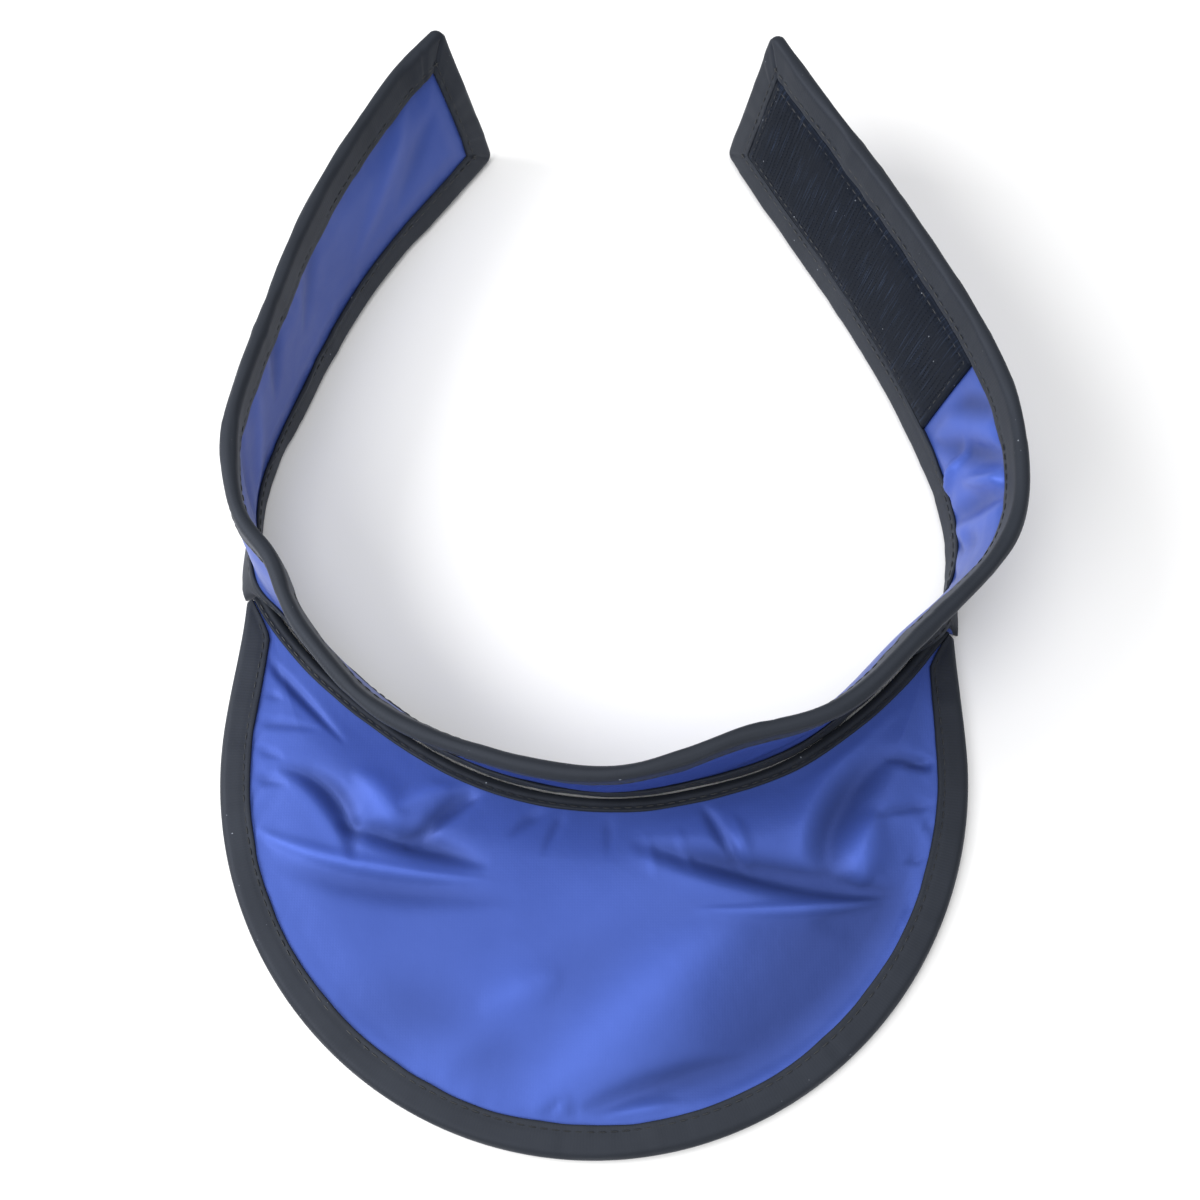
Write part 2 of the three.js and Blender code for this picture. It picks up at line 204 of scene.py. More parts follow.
# How finely the meshes are made
COURSE_STEP = 1 * MM
COVER_STEP = 1.15 * MM
TAPE_STEP = 1.7 * MM
TAPE_FINE_STEP = 0.5 * MM
PATCH_STEP = 1.3 * MM
SEAM_STEP = 3 * MM
CURVE_SAMPLES = 400
FOLD_STEPS = 24
BIB_ALONG, BIB_DOWN = 299, 111
NECKLINE_POINTS, RIM_POINTS = 240, 360
NECK_SEAM_POINTS, RIM_SEAM_POINTS = 160, 260
TAPE_LEG_POINTS, TAPE_TURN_POINTS = 9, 13
NOISE_LENGTH, NOISE_SIDE = 4096, 256

# How the cloth is worked: its scale, its frames, how far it may move on the band and on the bib, and how
# much it is gathered there
CLOTH_SCALE = 10
CLOTH_FRAMES = 24
BAND_REACH, BIB_REACH = 0.9 * MM, 1.3 * MM
BAND_GATHERED, BIB_GATHERED = 0.5, 0.15

# How far from a tape or a patch the cloth takes to come to its full form. UNDER_TAPE is how far under the
# tape it starts.
UNDER_TAPE = -1 * MM
CLEAR_OF_TAPE = 1 * MM
BAND_FOLD_RISE, BIB_FOLD_RISE = 3 * MM, 5 * MM
BAND_SWELL_RISE, BIB_SWELL_RISE = 9 * MM, 16 * MM
BAND_GATHER_FADE, BIB_GATHER_FADE = 5 * MM, 6 * MM
BAND_LOOSE_FADE, BIB_LOOSE_FADE = 9 * MM, 12 * MM
BIB_BACK_RISE = 12 * MM
TAPE_GATHER_FADE, TAPE_UNEVEN_FADE = 3 * MM, 4 * MM
TAPE_PUCKER_RISE = 2 * MM
MITRE_RISE = (1 * MM, 4 * MM)
PATCH_RISE = 6 * MM
PATCH_EDGE_RISE = (-0.6 * MM, 1.2 * MM)

# Each groove's depth and half width
TAPE_GROOVE = (0.2 * MM, 0.8 * MM)
PATCH_GROOVE = (0.3 * MM, 0.7 * MM)
MITRE = (0.4 * MM, 0.6 * MM)

# Finishing sizes that no one would change. Those above the bib are in half thicknesses of the band with its
# tape, and what is sunk stands that far in what carries it.
TINY = 1e-9
CORNER_RADIUS = 3.5 * MM
CORNER_LAP = 1.5 * MM
CORNER_GAP = 0.05 * MM
FOOT_ROUNDING = 0.8 * MM
CORNER_TURN = 0.12
PAST_CORNER = 1.02
RIM_NUDGE = 0.002
BULGE_START = 1.6 * MM
ABOVE_BIB, WELL_ABOVE_BIB = 2.05, 3.2
LIMIT_ROUNDING = 0.6 * MM
THINNEST_COVER = 0.6 * MM
THINNEST_LAYER = 0.2 * MM
BIB_BACK_SWELL = 0.6 * MM
FOLD_TIP = 0.4
TAPE_SOFT_EDGE = 0.3 * MM
TAPE_ROLL = 0.95
TAPE_STATIONS_NEAR_END = (14 * MM, 12 * MM)
TAPE_OUTER_FACE = 1.45 * MM
NARROW_TAPE = 4 * MM
STITCH_GROOVE = 1.7 * MM
NECK_STITCH_GROOVE = 1.2 * MM
PATCH_SEAM = 2.2 * MM
HOOK_BORDER = 3 * MM
HOOK_RADIUS = 0.26 * MM
HOOK_WIRE = 0.08 * MM
HOOK_SWEEP = 230
HOOK_ROW_PITCH = 0.8
SEAM_END = 0.98
SUNK, PATCH_SEAM_SUNK = 0.1 * MM, 0.25 * MM
FLOOR_DROP = 0.3 * MM
FLOOR_HALF = 4.0

# Tints of gleam, fuzz and lint, which no one would change either
TAPE_GLEAM = "#d4dcf0"
TAPE_FUZZ = "#8f9ab0"
HOOK_GLEAM = "#c4d2f2"
LOOP_FUZZ = "#8a8f99"
LINT = "#9aa0aa"

# Each light's name, place, size and power, as metres and watts
Light = namedtuple("Light", "name place size power")
LIGHTS = [
    Light("window", (-0.85, 0.1, 0.64), 0.6, 8.6),
    Light("left front", (-0.6, -0.5, 0.8), 0.6, 5.8),
    Light("front fill", (0.35, -0.7, 1.0), 0.8, 3.0),
    Light("overhead", (0.0, 0.1, 1.1), 0.8, 5.0),
]
ROOM_LIGHT = 0.4

# The camera looks at the middle of the neck's hollow
CAMERA_ELEVATION = 68
CAMERA_DISTANCE = 500 * MM
CAMERA_AIM = (-4.2, -5.4, 0)
CAMERA_LENS = 48
CAMERA_SENSOR = 36


def linear(hex_colour):
    """An sRGB hex colour as linear values."""
    channels = [int(hex_colour[i:i + 2], 16) / 255 for i in (1, 3, 5)]
    return tuple(c / 12.92 if c <= 0.04045 else ((c + 0.055) / 1.055) ** 2.4 for c in channels)


def length(name, millimetres, description):
    return FloatProperty(name=name, description=description, default=millimetres * MM, unit="LENGTH")


def colour(name, hex_colour, description):
    return FloatVectorProperty(
        name=name, description=description, default=linear(hex_colour), subtype="COLOR", min=0, max=1)


class CollarSizes(bpy.types.PropertyGroup):
    """The collar's sizes"""

    band_length: length("Band length", 623, "Length of the neck band along its lower edge")
    band_height: length("Band height", 56.5, "Height of the neck band with its tape")
    pad_thickness: length("Pad thickness", 2, "Thickness of the cloth and shielding in the band")
    tape_thickness: length("Tape thickness", 1, "Thickness of one leg of the folded tape")
    seat_gap: length("Seat gap", 0.3, "Gap between pieces that are sewn together")
    band_tape_width: length("Band tape width", 10, "Width of the tape on each side of the band's edge")
    bib_tape_width: length("Bib tape width", 9, "Width of the tape on each side of the bib's edge")
    neck_tape_width: length("Neck tape width", 4.5, "Width of the tape along the bib's neckline")
    seam_length: length("Seam length", 240, "Length of the bib's neckline along the band's foot")
    seam_shift: length("Seam shift", -4.5, "How far the neckline's middle lies from the band's middle")
    bib_width: length("Bib width", 223, "Width of the bib at its widest line")
    bib_centre_x: length("Bib centre", -3.8, "How far the bib's middle lies from the band's middle")
    bib_side_length: length("Bib side length", 40, "From the bib's corners down to its widest line")
    bib_round_depth: length("Bib round depth", 115.5, "From the bib's widest line down to its bottom")
    bib_corner_width: length("Bib corner width", 7.8, "Width of the bib where its two tapes meet")
    bib_swell: length("Bib swell", 1.5, "How far the bib's padding swells")
    band_swell: length("Band swell", 0.9, "How far the band's padding swells on each side")
    hook_length: length("Hook patch length", 118, "Length of the hook patch")
    loop_length: length("Loop patch length", 150, "Length of the loop patch")
    patch_thickness: length("Patch thickness", 1.2, "Thickness of the hook and loop patches")
    stitch_pitch: length("Stitch pitch", 3.2, "From one stitch to the next")
    stitch_length: length("Stitch length", 2.3, "Length of a stitch that shows")
    thread_thickness: length("Thread thickness", 0.42, "Thickness of the sewing thread")
    hook_pitch: length("Hook pitch", 1.7, "From one moulded hook to the next")


class CollarColours(bpy.types.PropertyGroup):
    """The collar's colours"""

    nylon: colour("Nylon", "#3b5098", "Coated nylon of the covers")
    nylon_light: colour("Nylon, worn", "#4359a4", "Coated nylon where it is rubbed lighter")
    nylon_sheen: colour("Nylon sheen", "#7f95f2", "Tint of the light that the coated nylon reflects")
    tape: colour("Tape", "#181b20", "Woven binding tape")
    hooks: colour("Hooks", "#0d121b", "Moulded hook tape")
    loops: colour("Loops", "#17191e", "Brushed loop tape")
    thread: colour("Thread", "#1f2226", "Sewing thread")
    floor: colour("Floor", "#f2f2f2", "Floor")


def smooth(value, low, high):
    """0 below low, 1 above high and a smooth rise between."""
    t = np.clip((value - low) / (high - low), 0, 1)
    return t * t * (3 - 2 * t)


def drift(x, pitch, seed):
    """Smooth seeded noise from -1 to 1 along x, about one bump for each pitch."""
    table = np.random.default_rng(seed).uniform(-1, 1, NOISE_LENGTH)
    place = np.asarray(x) / pitch + table.size / 2
    whole = np.floor(place).astype(int)
    share = smooth(place - whole, 0, 1)
    return table[whole % table.size] * (1 - share) + table[(whole + 1) % table.size] * share


def drift_over(x, y, pitch, seed):
    """Smooth seeded noise from -1 to 1 over a plane."""
    table = np.random.default_rng(seed).uniform(-1, 1, (NOISE_SIDE, NOISE_SIDE))
    size = NOISE_SIDE
    place_x, place_y = np.asarray(x) / pitch + size / 2, np.asarray(y) / pitch + size / 2
    i, j = np.floor(place_x).astype(int), np.floor(place_y).astype(int)
    u, v = smooth(place_x - i, 0, 1), smooth(place_y - j, 0, 1)
    near = table[i % size, j % size] * (1 - v) + table[i % size, (j + 1) % size] * v
    far = table[(i + 1) % size, j % size] * (1 - v) + table[(i + 1) % size, (j + 1) % size] * v
    return near * (1 - u) + far * u


def ripple(run, waves, seed=0):
    """Waves along a run, in metres."""
    return sum(wave.height * MM * drift(run, wave.pitch * MM, seed + wave.seed) for wave in waves)


def ripple_over(x, y, wave, seed=0):
    """A wave over a plane, in metres."""
    return wave.height * MM * drift_over(x, y, wave.pitch * MM, seed + wave.seed)


def faded(distance, reach):
    """1 at no distance, and less further away."""
    return np.exp(-distance / reach)


def groove(distance, depth, half_width):
    """How deep a groove is at a distance from its middle."""
    return depth * np.exp(-(distance / half_width) ** 2)


def above(height, least):
    """The height, but smoothly kept above the least one."""
    spare = height - least
    return least + (spare + np.hypot(spare, LIMIT_ROUNDING)) / 2


def fold_height(x, y, folds):
    """How far the folds lift the places x, y, in metres."""
    height = np.zeros(np.shape(x))
    for fold in folds:
        a, b, c = np.array([(fold.x1, fold.y1), (fold.x2, fold.y2), (fold.x3, fold.y3)]) * MM
        path = [(1 - t) ** 2 * a + 2 * t * (1 - t) * b + t * t * c for t in np.linspace(0, 1, FOLD_STEPS + 1)]
        best = np.full(np.shape(x), np.inf)
        share = np.zeros(np.shape(x))
        side = np.zeros(np.shape(x))
        for i in range(FOLD_STEPS):
            run = path[i + 1] - path[i]
            from_x, from_y = x - path[i][0], y - path[i][1]
            t = np.clip((from_x * run[0] + from_y * run[1]) / (run @ run), 0, 1)
            away = np.hypot(from_x - t * run[0], from_y - t * run[1])
            closer = away < best
            best = np.where(closer, away, best)
            share = np.where(closer, (i + t) / FOLD_STEPS, share)
            side = np.where(closer, np.sign(run[0] * from_y - run[1] * from_x), side)
        taper = np.sin(np.pi * np.clip(share, 0, 1))
        across = best / (fold.wide * (FOLD_TIP + (1 - FOLD_TIP) * taper) * MM)
        height += taper * np.exp(-across ** 2) * (fold.rise + fold.tilt * side * across) * MM
    return height


def on_line(place, places, line):
    """Points of a line in plan, found by how far along it they are."""
    return np.stack([np.interp(place, places, line[:, k]) for k in (0, 1)], -1)


def distance_to(places, line):
    """How far places are from the nearest point of a line."""
    flat = places.reshape(-1, 2)
    found = np.full(len(flat), np.inf)
    for point in line:
        found = np.minimum(found, np.hypot(*(flat - point).T))
    return found.reshape(places.shape[:-1])


class CollarShape:
    """The collar's surfaces as formulas of its sizes, in metres"""

    def __init__(self, sizes):
        self.sizes = sizes
        self.half_length = sizes.band_length / 2
        self.half_pad = sizes.pad_thickness / 2
        self.tape_inside = self.half_pad + sizes.seat_gap
        self.tape_outside = self.tape_inside + sizes.tape_thickness
        self.pad_inset = sizes.tape_thickness + sizes.seat_gap
        self.patch_low = sizes.band_tape_width + sizes.seat_gap
        self.patch_start = self.half_length - sizes.band_tape_width - sizes.seat_gap
        self.walk_band()
        self.draw_rim()
        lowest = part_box("bib_edge_binding")[0]
        self.shift = np.array([
            lowest.x - (sizes.bib_centre_x - sizes.bib_width / 2), lowest.y - self.bottom_y, 0])

    def column(self, name, at):
        """A column of the band's table as a smooth function."""
        places = np.array([row.at for row in BAND_COURSE])
        values = np.array([getattr(row, name) for row in BAND_COURSE], float)
        before, after = np.maximum(np.arange(len(places)) - 1, 0), np.arange(len(places)) + 1
        after = np.minimum(after, len(places) - 1)
        slopes = (values[after] - values[before]) / (places[after] - places[before])
        i = np.clip(np.searchsorted(places, at) - 1, 0, len(places) - 2)
        span = places[i + 1] - places[i]
        t = np.clip((at - places[i]) / span, 0, 1)
        leaving = slopes[i] * span * t * (1 - t) ** 2
        arriving = slopes[i + 1] * span * t * t * (1 - t)
        return values[i] + (values[i + 1] - values[i]) * t * t * (3 - 2 * t) + leaving - arriving

    def walk_band(self):
        """The band's lower edge in plan, walked from the middle of the front to both ends."""
        steps = math.ceil(self.half_length / COURSE_STEP)
        stride = self.half_length / steps
        middles = (np.arange(steps) + 0.5) / steps
        sides = []
        for side in (-1, 1):
            heading = np.radians(self.column("heading", side * middles))
            strides = side * stride * np.stack([np.cos(heading), np.sin(heading)], 1)
            sides.append(np.vstack([[0, 0], np.cumsum(strides, 0)]))
        self.course_places = np.linspace(-self.half_length, self.half_length, 2 * steps + 1)
        self.course = np.vstack([sides[0][::-1], sides[1][1:]])

    def plan(self, along):
        """Where a length along the band lies in plan."""
        return on_line(along, self.course_places, self.course)

    def outward(self, along):
        """Which way is out of the neck's hollow."""
        heading = np.radians(self.column("heading", along / self.half_length))
        return np.stack([np.sin(heading), -np.cos(heading)], -1)

    def bowed(self, along, up, out):
        """A place in the leaning, hollow wall, as across and raised."""
        at = along / self.half_length
        height = self.sizes.band_height
        lean = np.radians(self.column("lean", at))
        bow = 4 * self.column("hollow", at) * height
        share = up / height
        slope = -bow * (1 - 2 * share) / height
        stretch = np.hypot(1, slope)
        across = out / stretch - bow * share * (1 - share)
        raised = up - slope * out / stretch
        return across * np.cos(lean) + raised * np.sin(lean), raised * np.cos(lean) - across * np.sin(lean)

    def section(self, along, up, out):
        """The same with the wall's rounded foot on the ground."""
        corner = self.tape_outside - FOOT_ROUNDING
        lowest = np.minimum(self.bowed(along, 0, corner)[1], self.bowed(along, 0, -corner)[1])
        across, raised = self.bowed(along, up, out)
        return across, raised - lowest

    def push(self, along, up):
        """How far the wall is pushed out. Over the bib's neckline it is pushed only above the bib."""
        past_seam = np.abs(along - self.sizes.seam_shift) - self.sizes.seam_length / 2
        above_bib = smooth(up, ABOVE_BIB * self.tape_outside, WELL_ABOVE_BIB * self.tape_outside)
        free = np.maximum(smooth(past_seam, CORNER_LAP, CORNER_LAP + BULGE_START), above_bib)
        total = 0
        for row in BAND_PUSHES:
            lengthwise = (along / MM - row.along) / row.long
            crosswise = (up / MM - row.up) / row.high
            total = total + row.out * MM * np.exp(-lengthwise ** 2 - crosswise ** 2)
        return total * free

    def round_corners(self, along, up):
        """Draws the band's four corners in, so that they are round."""
        half = self.sizes.band_height / 2
        past_x = np.abs(along) - (self.half_length - CORNER_RADIUS)
        past_y = np.abs(up - half) - (half - CORNER_RADIUS)
        inside = (past_x > 0) & (past_y > 0)
        share = np.maximum(past_x, past_y) / np.maximum(np.hypot(past_x, past_y), TINY)
        share = np.where(inside, share, 1)
        along = np.where(inside, np.sign(along) * (self.half_length - CORNER_RADIUS + past_x * share), along)
        up = np.where(inside, half + np.sign(up - half) * (half - CORNER_RADIUS + past_y * share), up)
        return along, up

    def band(self, along, up, out):
        """Places on the band, in the part's frame: up its leaning wall and out from the wall's middle."""
        along, up, out = np.broadcast_arrays(along, up, out)
        along, up = self.round_corners(along, up)
        across, raised = self.section(along, up, out)
        away = (across + self.push(along, up))[..., None]
        plan = self.plan(along) + self.outward(along) * away
        return np.concatenate([plan, raised[..., None]], -1) + self.shift

    def neckline(self, share):
        """The bib's neckline, against the band's foot, from its left end (-1) to its right one (1)."""
        along = self.sizes.seam_shift + share * self.sizes.seam_length / 2
        levels = np.linspace(0, 2 * self.tape_outside, 5)
        reach = np.max([self.section(along, level, self.tape_outside)[0] for level in levels], 0)
        return self.plan(along) + self.outward(along) * (reach + self.sizes.seat_gap)[..., None]

    def from_neckline(self, share, distance):
        """Places at a distance below the neckline."""
        along = self.sizes.seam_shift + share * self.sizes.seam_length / 2
        return self.neckline(share) + self.outward(along) * np.asarray(distance)[..., None]

    def draw_rim(self):
        """The bib's outer edge from its left corner down the side, round the bottom and up."""
        s = self.sizes
        ends = self.from_neckline(np.array([-1.0, 1.0]), np.full(2, s.bib_corner_width))
        widest_y = ends[:, 1].mean() - s.bib_side_length
        self.bottom_y = widest_y - s.bib_round_depth
        t = np.linspace(0, 1, CURVE_SAMPLES)[:, None]
        sides = []
        for corner, side in ((ends[0], -1), (ends[1], 1)):
            widest = np.array([s.bib_centre_x + side * s.bib_width / 2, widest_y])
            third = (corner[1] - widest_y) / 3
            near_corner = np.array([corner[0] + CORNER_TURN * (widest[0] - corner[0]), corner[1] - third])
            near_widest = np.array([widest[0], widest_y + third])
            sides.append((1 - t) ** 3 * corner + 3 * t * (1 - t) ** 2 * near_corner
                         + 3 * t * t * (1 - t) * near_widest + t ** 3 * widest)
        turn = np.linspace(math.pi, 2 * math.pi, 2 * CURVE_SAMPLES)
        bottom = np.stack([s.bib_centre_x + s.bib_width / 2 * np.cos(turn),
                           widest_y + s.bib_round_depth * np.sin(turn)], 1)
        course = np.vstack([sides[0], bottom[1:-1], sides[1][::-1]])
        laps = [end + (end - near) / np.linalg.norm(end - near) * CORNER_LAP
                for end, near in ((course[0], course[1]), (course[-1], course[-2]))]
        self.rim_course = np.vstack([laps[:1], course, laps[1:]])
        steps = np.hypot(*np.diff(self.rim_course, axis=0).T)
        self.rim_places = np.concatenate([[0], np.cumsum(steps)])
        self.rim_length = self.rim_places[-1]

    def rim(self, share):
        """The bib's outer edge, from its left corner (0) to its right one (1)."""
        return on_line(np.clip(share, 0, 1) * self.rim_length, self.rim_places, self.rim_course)

    def inward(self, share):
        """Which way is into the bib, square to its edge, but along the seam at its corners."""
        ahead = self.rim(share + RIM_NUDGE) - self.rim(share - RIM_NUDGE)
        square = np.stack([-ahead[..., 1], ahead[..., 0]], -1)
        square /= np.linalg.norm(square, axis=-1, keepdims=True)
        ends = self.sizes.seam_shift + np.where(share < 0.5, -1, 1) * self.sizes.seam_length / 2
        from_end = np.minimum(share, 1 - share) * self.rim_length
        turned = smooth(from_end, 0, 2 * self.sizes.bib_corner_width)[..., None]
        mixed = -self.outward(ends) * (1 - turned) + square * turned
        return mixed / np.linalg.norm(mixed, axis=-1, keepdims=True)

    def from_rim(self, share, distance):
        """Places at a distance inside the outer edge."""
        return self.rim(share) + self.inward(share) * np.asarray(distance)[..., None]

    def rim_tape_width(self, share):
        """The width of the outer edge's tape, which narrows where it meets the neckline's tape."""
        line = self.neckline(np.linspace(-PAST_CORNER, PAST_CORNER, NECKLINE_POINTS))
        room = distance_to(self.rim(share), line) - self.sizes.neck_tape_width - CORNER_GAP
        return np.minimum(self.sizes.bib_tape_width, room)

    def on_bib(self, plan, height):
        """Places on the bib, in the part's frame."""
        height = np.broadcast_to(height, plan.shape[:-1])
        return np.concatenate([plan, height[..., None]], -1) + self.shift


def in_scene(name, data):
    """A new object in the scene."""
    made = bpy.data.objects.new(name, data)
    bpy.context.scene.collection.objects.link(made)
    return made


def front_and_back(front, back):
    """Rows that go along the front and come back along the back."""
    return np.concatenate([front, back[:, ::-1]], 1)


def sheet_faces(count, size):
    """The quads of a sheet with so many rows of so many points."""
    corner = np.arange(count - 1)[:, None] * size + np.arange(size - 1)
    return np.stack([corner, corner + size, corner + size + 1, corner + 1], -1).reshape(-1, 4)


def solid_from_rings(name, rings, uvs, closed):
    """A closed mesh through rings of points. It joins into a loop, or its ends are closed by quads, which
    takes rings that go along one side and come back along the other."""
    count, size = rings.shape[:2]
    starts = np.arange(count if closed else count - 1)
    here = starts[:, None] * size + np.arange(size)
    ahead = ((starts[:, None] + 1) % count) * size + np.arange(size)
    faces = np.stack([here, ahead, np.roll(ahead, -1, 1), np.roll(here, -1, 1)], -1).reshape(-1, 4).tolist()
    if not closed:
        last = (count - 1) * size
        for i in range(size // 2 - 1):
            quad = [i, i + 1, size - 2 - i, size - 1 - i]
            faces.append(quad)
            faces.append([last + v for v in reversed(quad)])
    mesh = bpy.data.meshes.new(name)
    mesh.from_pydata(rings.reshape(-1, 3).tolist(), [], faces)
    layer = mesh.uv_layers.new(name="cloth")
    corners = np.zeros(len(mesh.loops), np.int32)
    mesh.loops.foreach_get("vertex_index", corners)
    layer.data.foreach_set("uv", uvs.reshape(-1, 2)[corners].ravel().astype(np.float32))
    set_outward(mesh)
    return in_scene(name, mesh)


def set_outward(mesh):
    """Turns the faces outwards and shades them smooth."""
    work = bmesh.new()
    work.from_mesh(mesh)
    bmesh.ops.recalc_face_normals(work, faces=work.faces)
    if work.calc_volume(signed=True) < 0:
        bmesh.ops.reverse_faces(work, faces=work.faces)
    for face in work.faces:
        face.smooth = True
    work.to_mesh(mesh)
    work.free()


def applied(piece):
    """The piece with its modifiers made part of its mesh."""
    evaluated = piece.evaluated_get(bpy.context.evaluated_depsgraph_get())
    mesh = bpy.data.meshes.new_from_object(evaluated)
    piece.modifiers.clear()
    old = piece.data
    piece.data = mesh
    mesh.name = piece.name
    bpy.data.meshes.remove(old)
    return piece


def doubled(rows):
    """Rows with a smooth one between each two."""
    wide = np.concatenate([2 * rows[:1] - rows[1:2], rows, 2 * rows[-1:] - rows[-2:-1]])
    result = np.empty((2 * len(rows) - 1, *rows.shape[1:]))
    result[::2] = rows
    result[1::2] = (9 * (wide[1:-2] + wide[2:-1]) - wide[:-3] - wide[3:]) / 16
    return result


def settled(rows, held, growth, reach):
    """Lets a fine sheet of cloth buckle, worked out on every second row and column of it."""
    coarse = rows[::2, ::2]
    change = buckled(coarse, held[::2, ::2], growth[::2, ::2], reach) - coarse
    return rows + doubled(doubled(change).swapaxes(0, 1)).swapaxes(0, 1)


def buckled(rows, held, growth, reach):
    """Lets a sheet of cloth buckle. rows are its points, held says how firmly the seams hold each point, and
    growth how much the cloth there is gathered. The sheet is worked ten times its size, where the solver is
    steadier, and no point moves further than reach."""
    mesh = bpy.data.meshes.new("settling")
    mesh.from_pydata((rows.reshape(-1, 3) * CLOTH_SCALE).tolist(), [], sheet_faces(*rows.shape[:2]).tolist())
    sheet = in_scene("settling", mesh)
    for name, weights in (("held", held), ("growth", growth)):
        group = sheet.vertex_groups.new(name=name)
        for i, weight in enumerate(np.clip(weights, 0, 1).ravel().tolist()):
            group.add([i], weight, "REPLACE")
    modifier = sheet.modifiers.new("Cloth", "CLOTH")
    cloth = modifier.settings
    cloth.quality = 6
    cloth.mass = 0.2
    cloth.air_damping = 4
    cloth.tension_stiffness = 30
    cloth.compression_stiffness = 30
    cloth.shear_stiffness = 8
    cloth.bending_stiffness = 0.4
    cloth.vertex_group_mass = "held"
    cloth.pin_stiffness = 1
    cloth.vertex_group_shrink = "growth"
    cloth.shrink_min = 0
    cloth.shrink_max = -0.07
    cloth.effector_weights.gravity = 0
    modifier.collision_settings.use_collision = False
    modifier.point_cache.frame_start = 1
    modifier.point_cache.frame_end = CLOTH_FRAMES
    scene = bpy.context.scene
    for number in range(1, CLOTH_FRAMES + 1):
        scene.frame_set(number)
    evaluated = sheet.evaluated_get(bpy.context.evaluated_depsgraph_get())
    moved = np.zeros(rows.size)
    evaluated.data.vertices.foreach_get("co", moved)
    scene.frame_set(1)
    bpy.data.objects.remove(sheet)
    bpy.data.meshes.remove(mesh)
    change = moved.reshape(rows.shape) / CLOTH_SCALE - rows
    far = np.maximum(np.linalg.norm(change, axis=-1, keepdims=True), TINY)
    return rows + change * reach * np.tanh(far / reach) / far


def store_relief(piece, relief):
    """Keeps how far each point of a cover stands off the smooth padding. The cover's colour takes painted
    shade in the dents and painted highlight on the ridges from it.
    """
    layer = piece.data.attributes.new("relief", "FLOAT", "POINT")
    layer.data.foreach_set("value", relief.ravel().astype(np.float32))


def finish_piece(piece, slot, material, *nodes):
    """Gives a piece its material, and says what it rides on and what it replaces. Its slot is not used."""
    piece.data.materials.clear()
    piece.data.materials.append(material)
    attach(piece, BODY)
    if nodes:
        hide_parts(*nodes)
    return piece


def add(tree, kind, inputs=None, **settings):
    """Adds a node with its settings, and its inputs as values or as links from other nodes' outputs."""
    new = tree.nodes.new(kind)
    for name, value in settings.items():
        setattr(new, name, value)
    for name, value in (inputs or {}).items():
        if isinstance(value, bpy.types.NodeSocket):
            tree.links.new(value, new.inputs[name])
        else:
            new.inputs[name].default_value = value
    return new


def new_material(name):
    """An empty material and its tree."""
    material = bpy.data.materials.new(name)
    material.use_nodes = True
    material.node_tree.nodes.clear()
    return material, material.node_tree


def surfaced(material, inputs):
    """The material with a surface of these inputs."""
    tree = material.node_tree
    shader = add(tree, "ShaderNodeBsdfPrincipled", inputs)
    add(tree, "ShaderNodeOutputMaterial", {"Surface": shader.outputs["BSDF"]})
    return material


def band_scale(pitch):
    """The scale that puts the bands of a wave texture this far apart."""
    return math.pi / 10 / pitch


def scaled(rgb, share):
    """A darker or lighter shade of a colour."""
    return [share * channel for channel in rgb]


def rgba(rgb):
    return (*rgb, 1.0)


def set_ramp(node, stops):
    """Puts the colour stops, as place and colour, on a colour ramp."""
    elements = node.color_ramp.elements
    while len(elements) < len(stops):
        elements.new(0.5)
    for element, (place, value) in zip(elements, stops):
        element.position = place
        element.color = rgba(value)


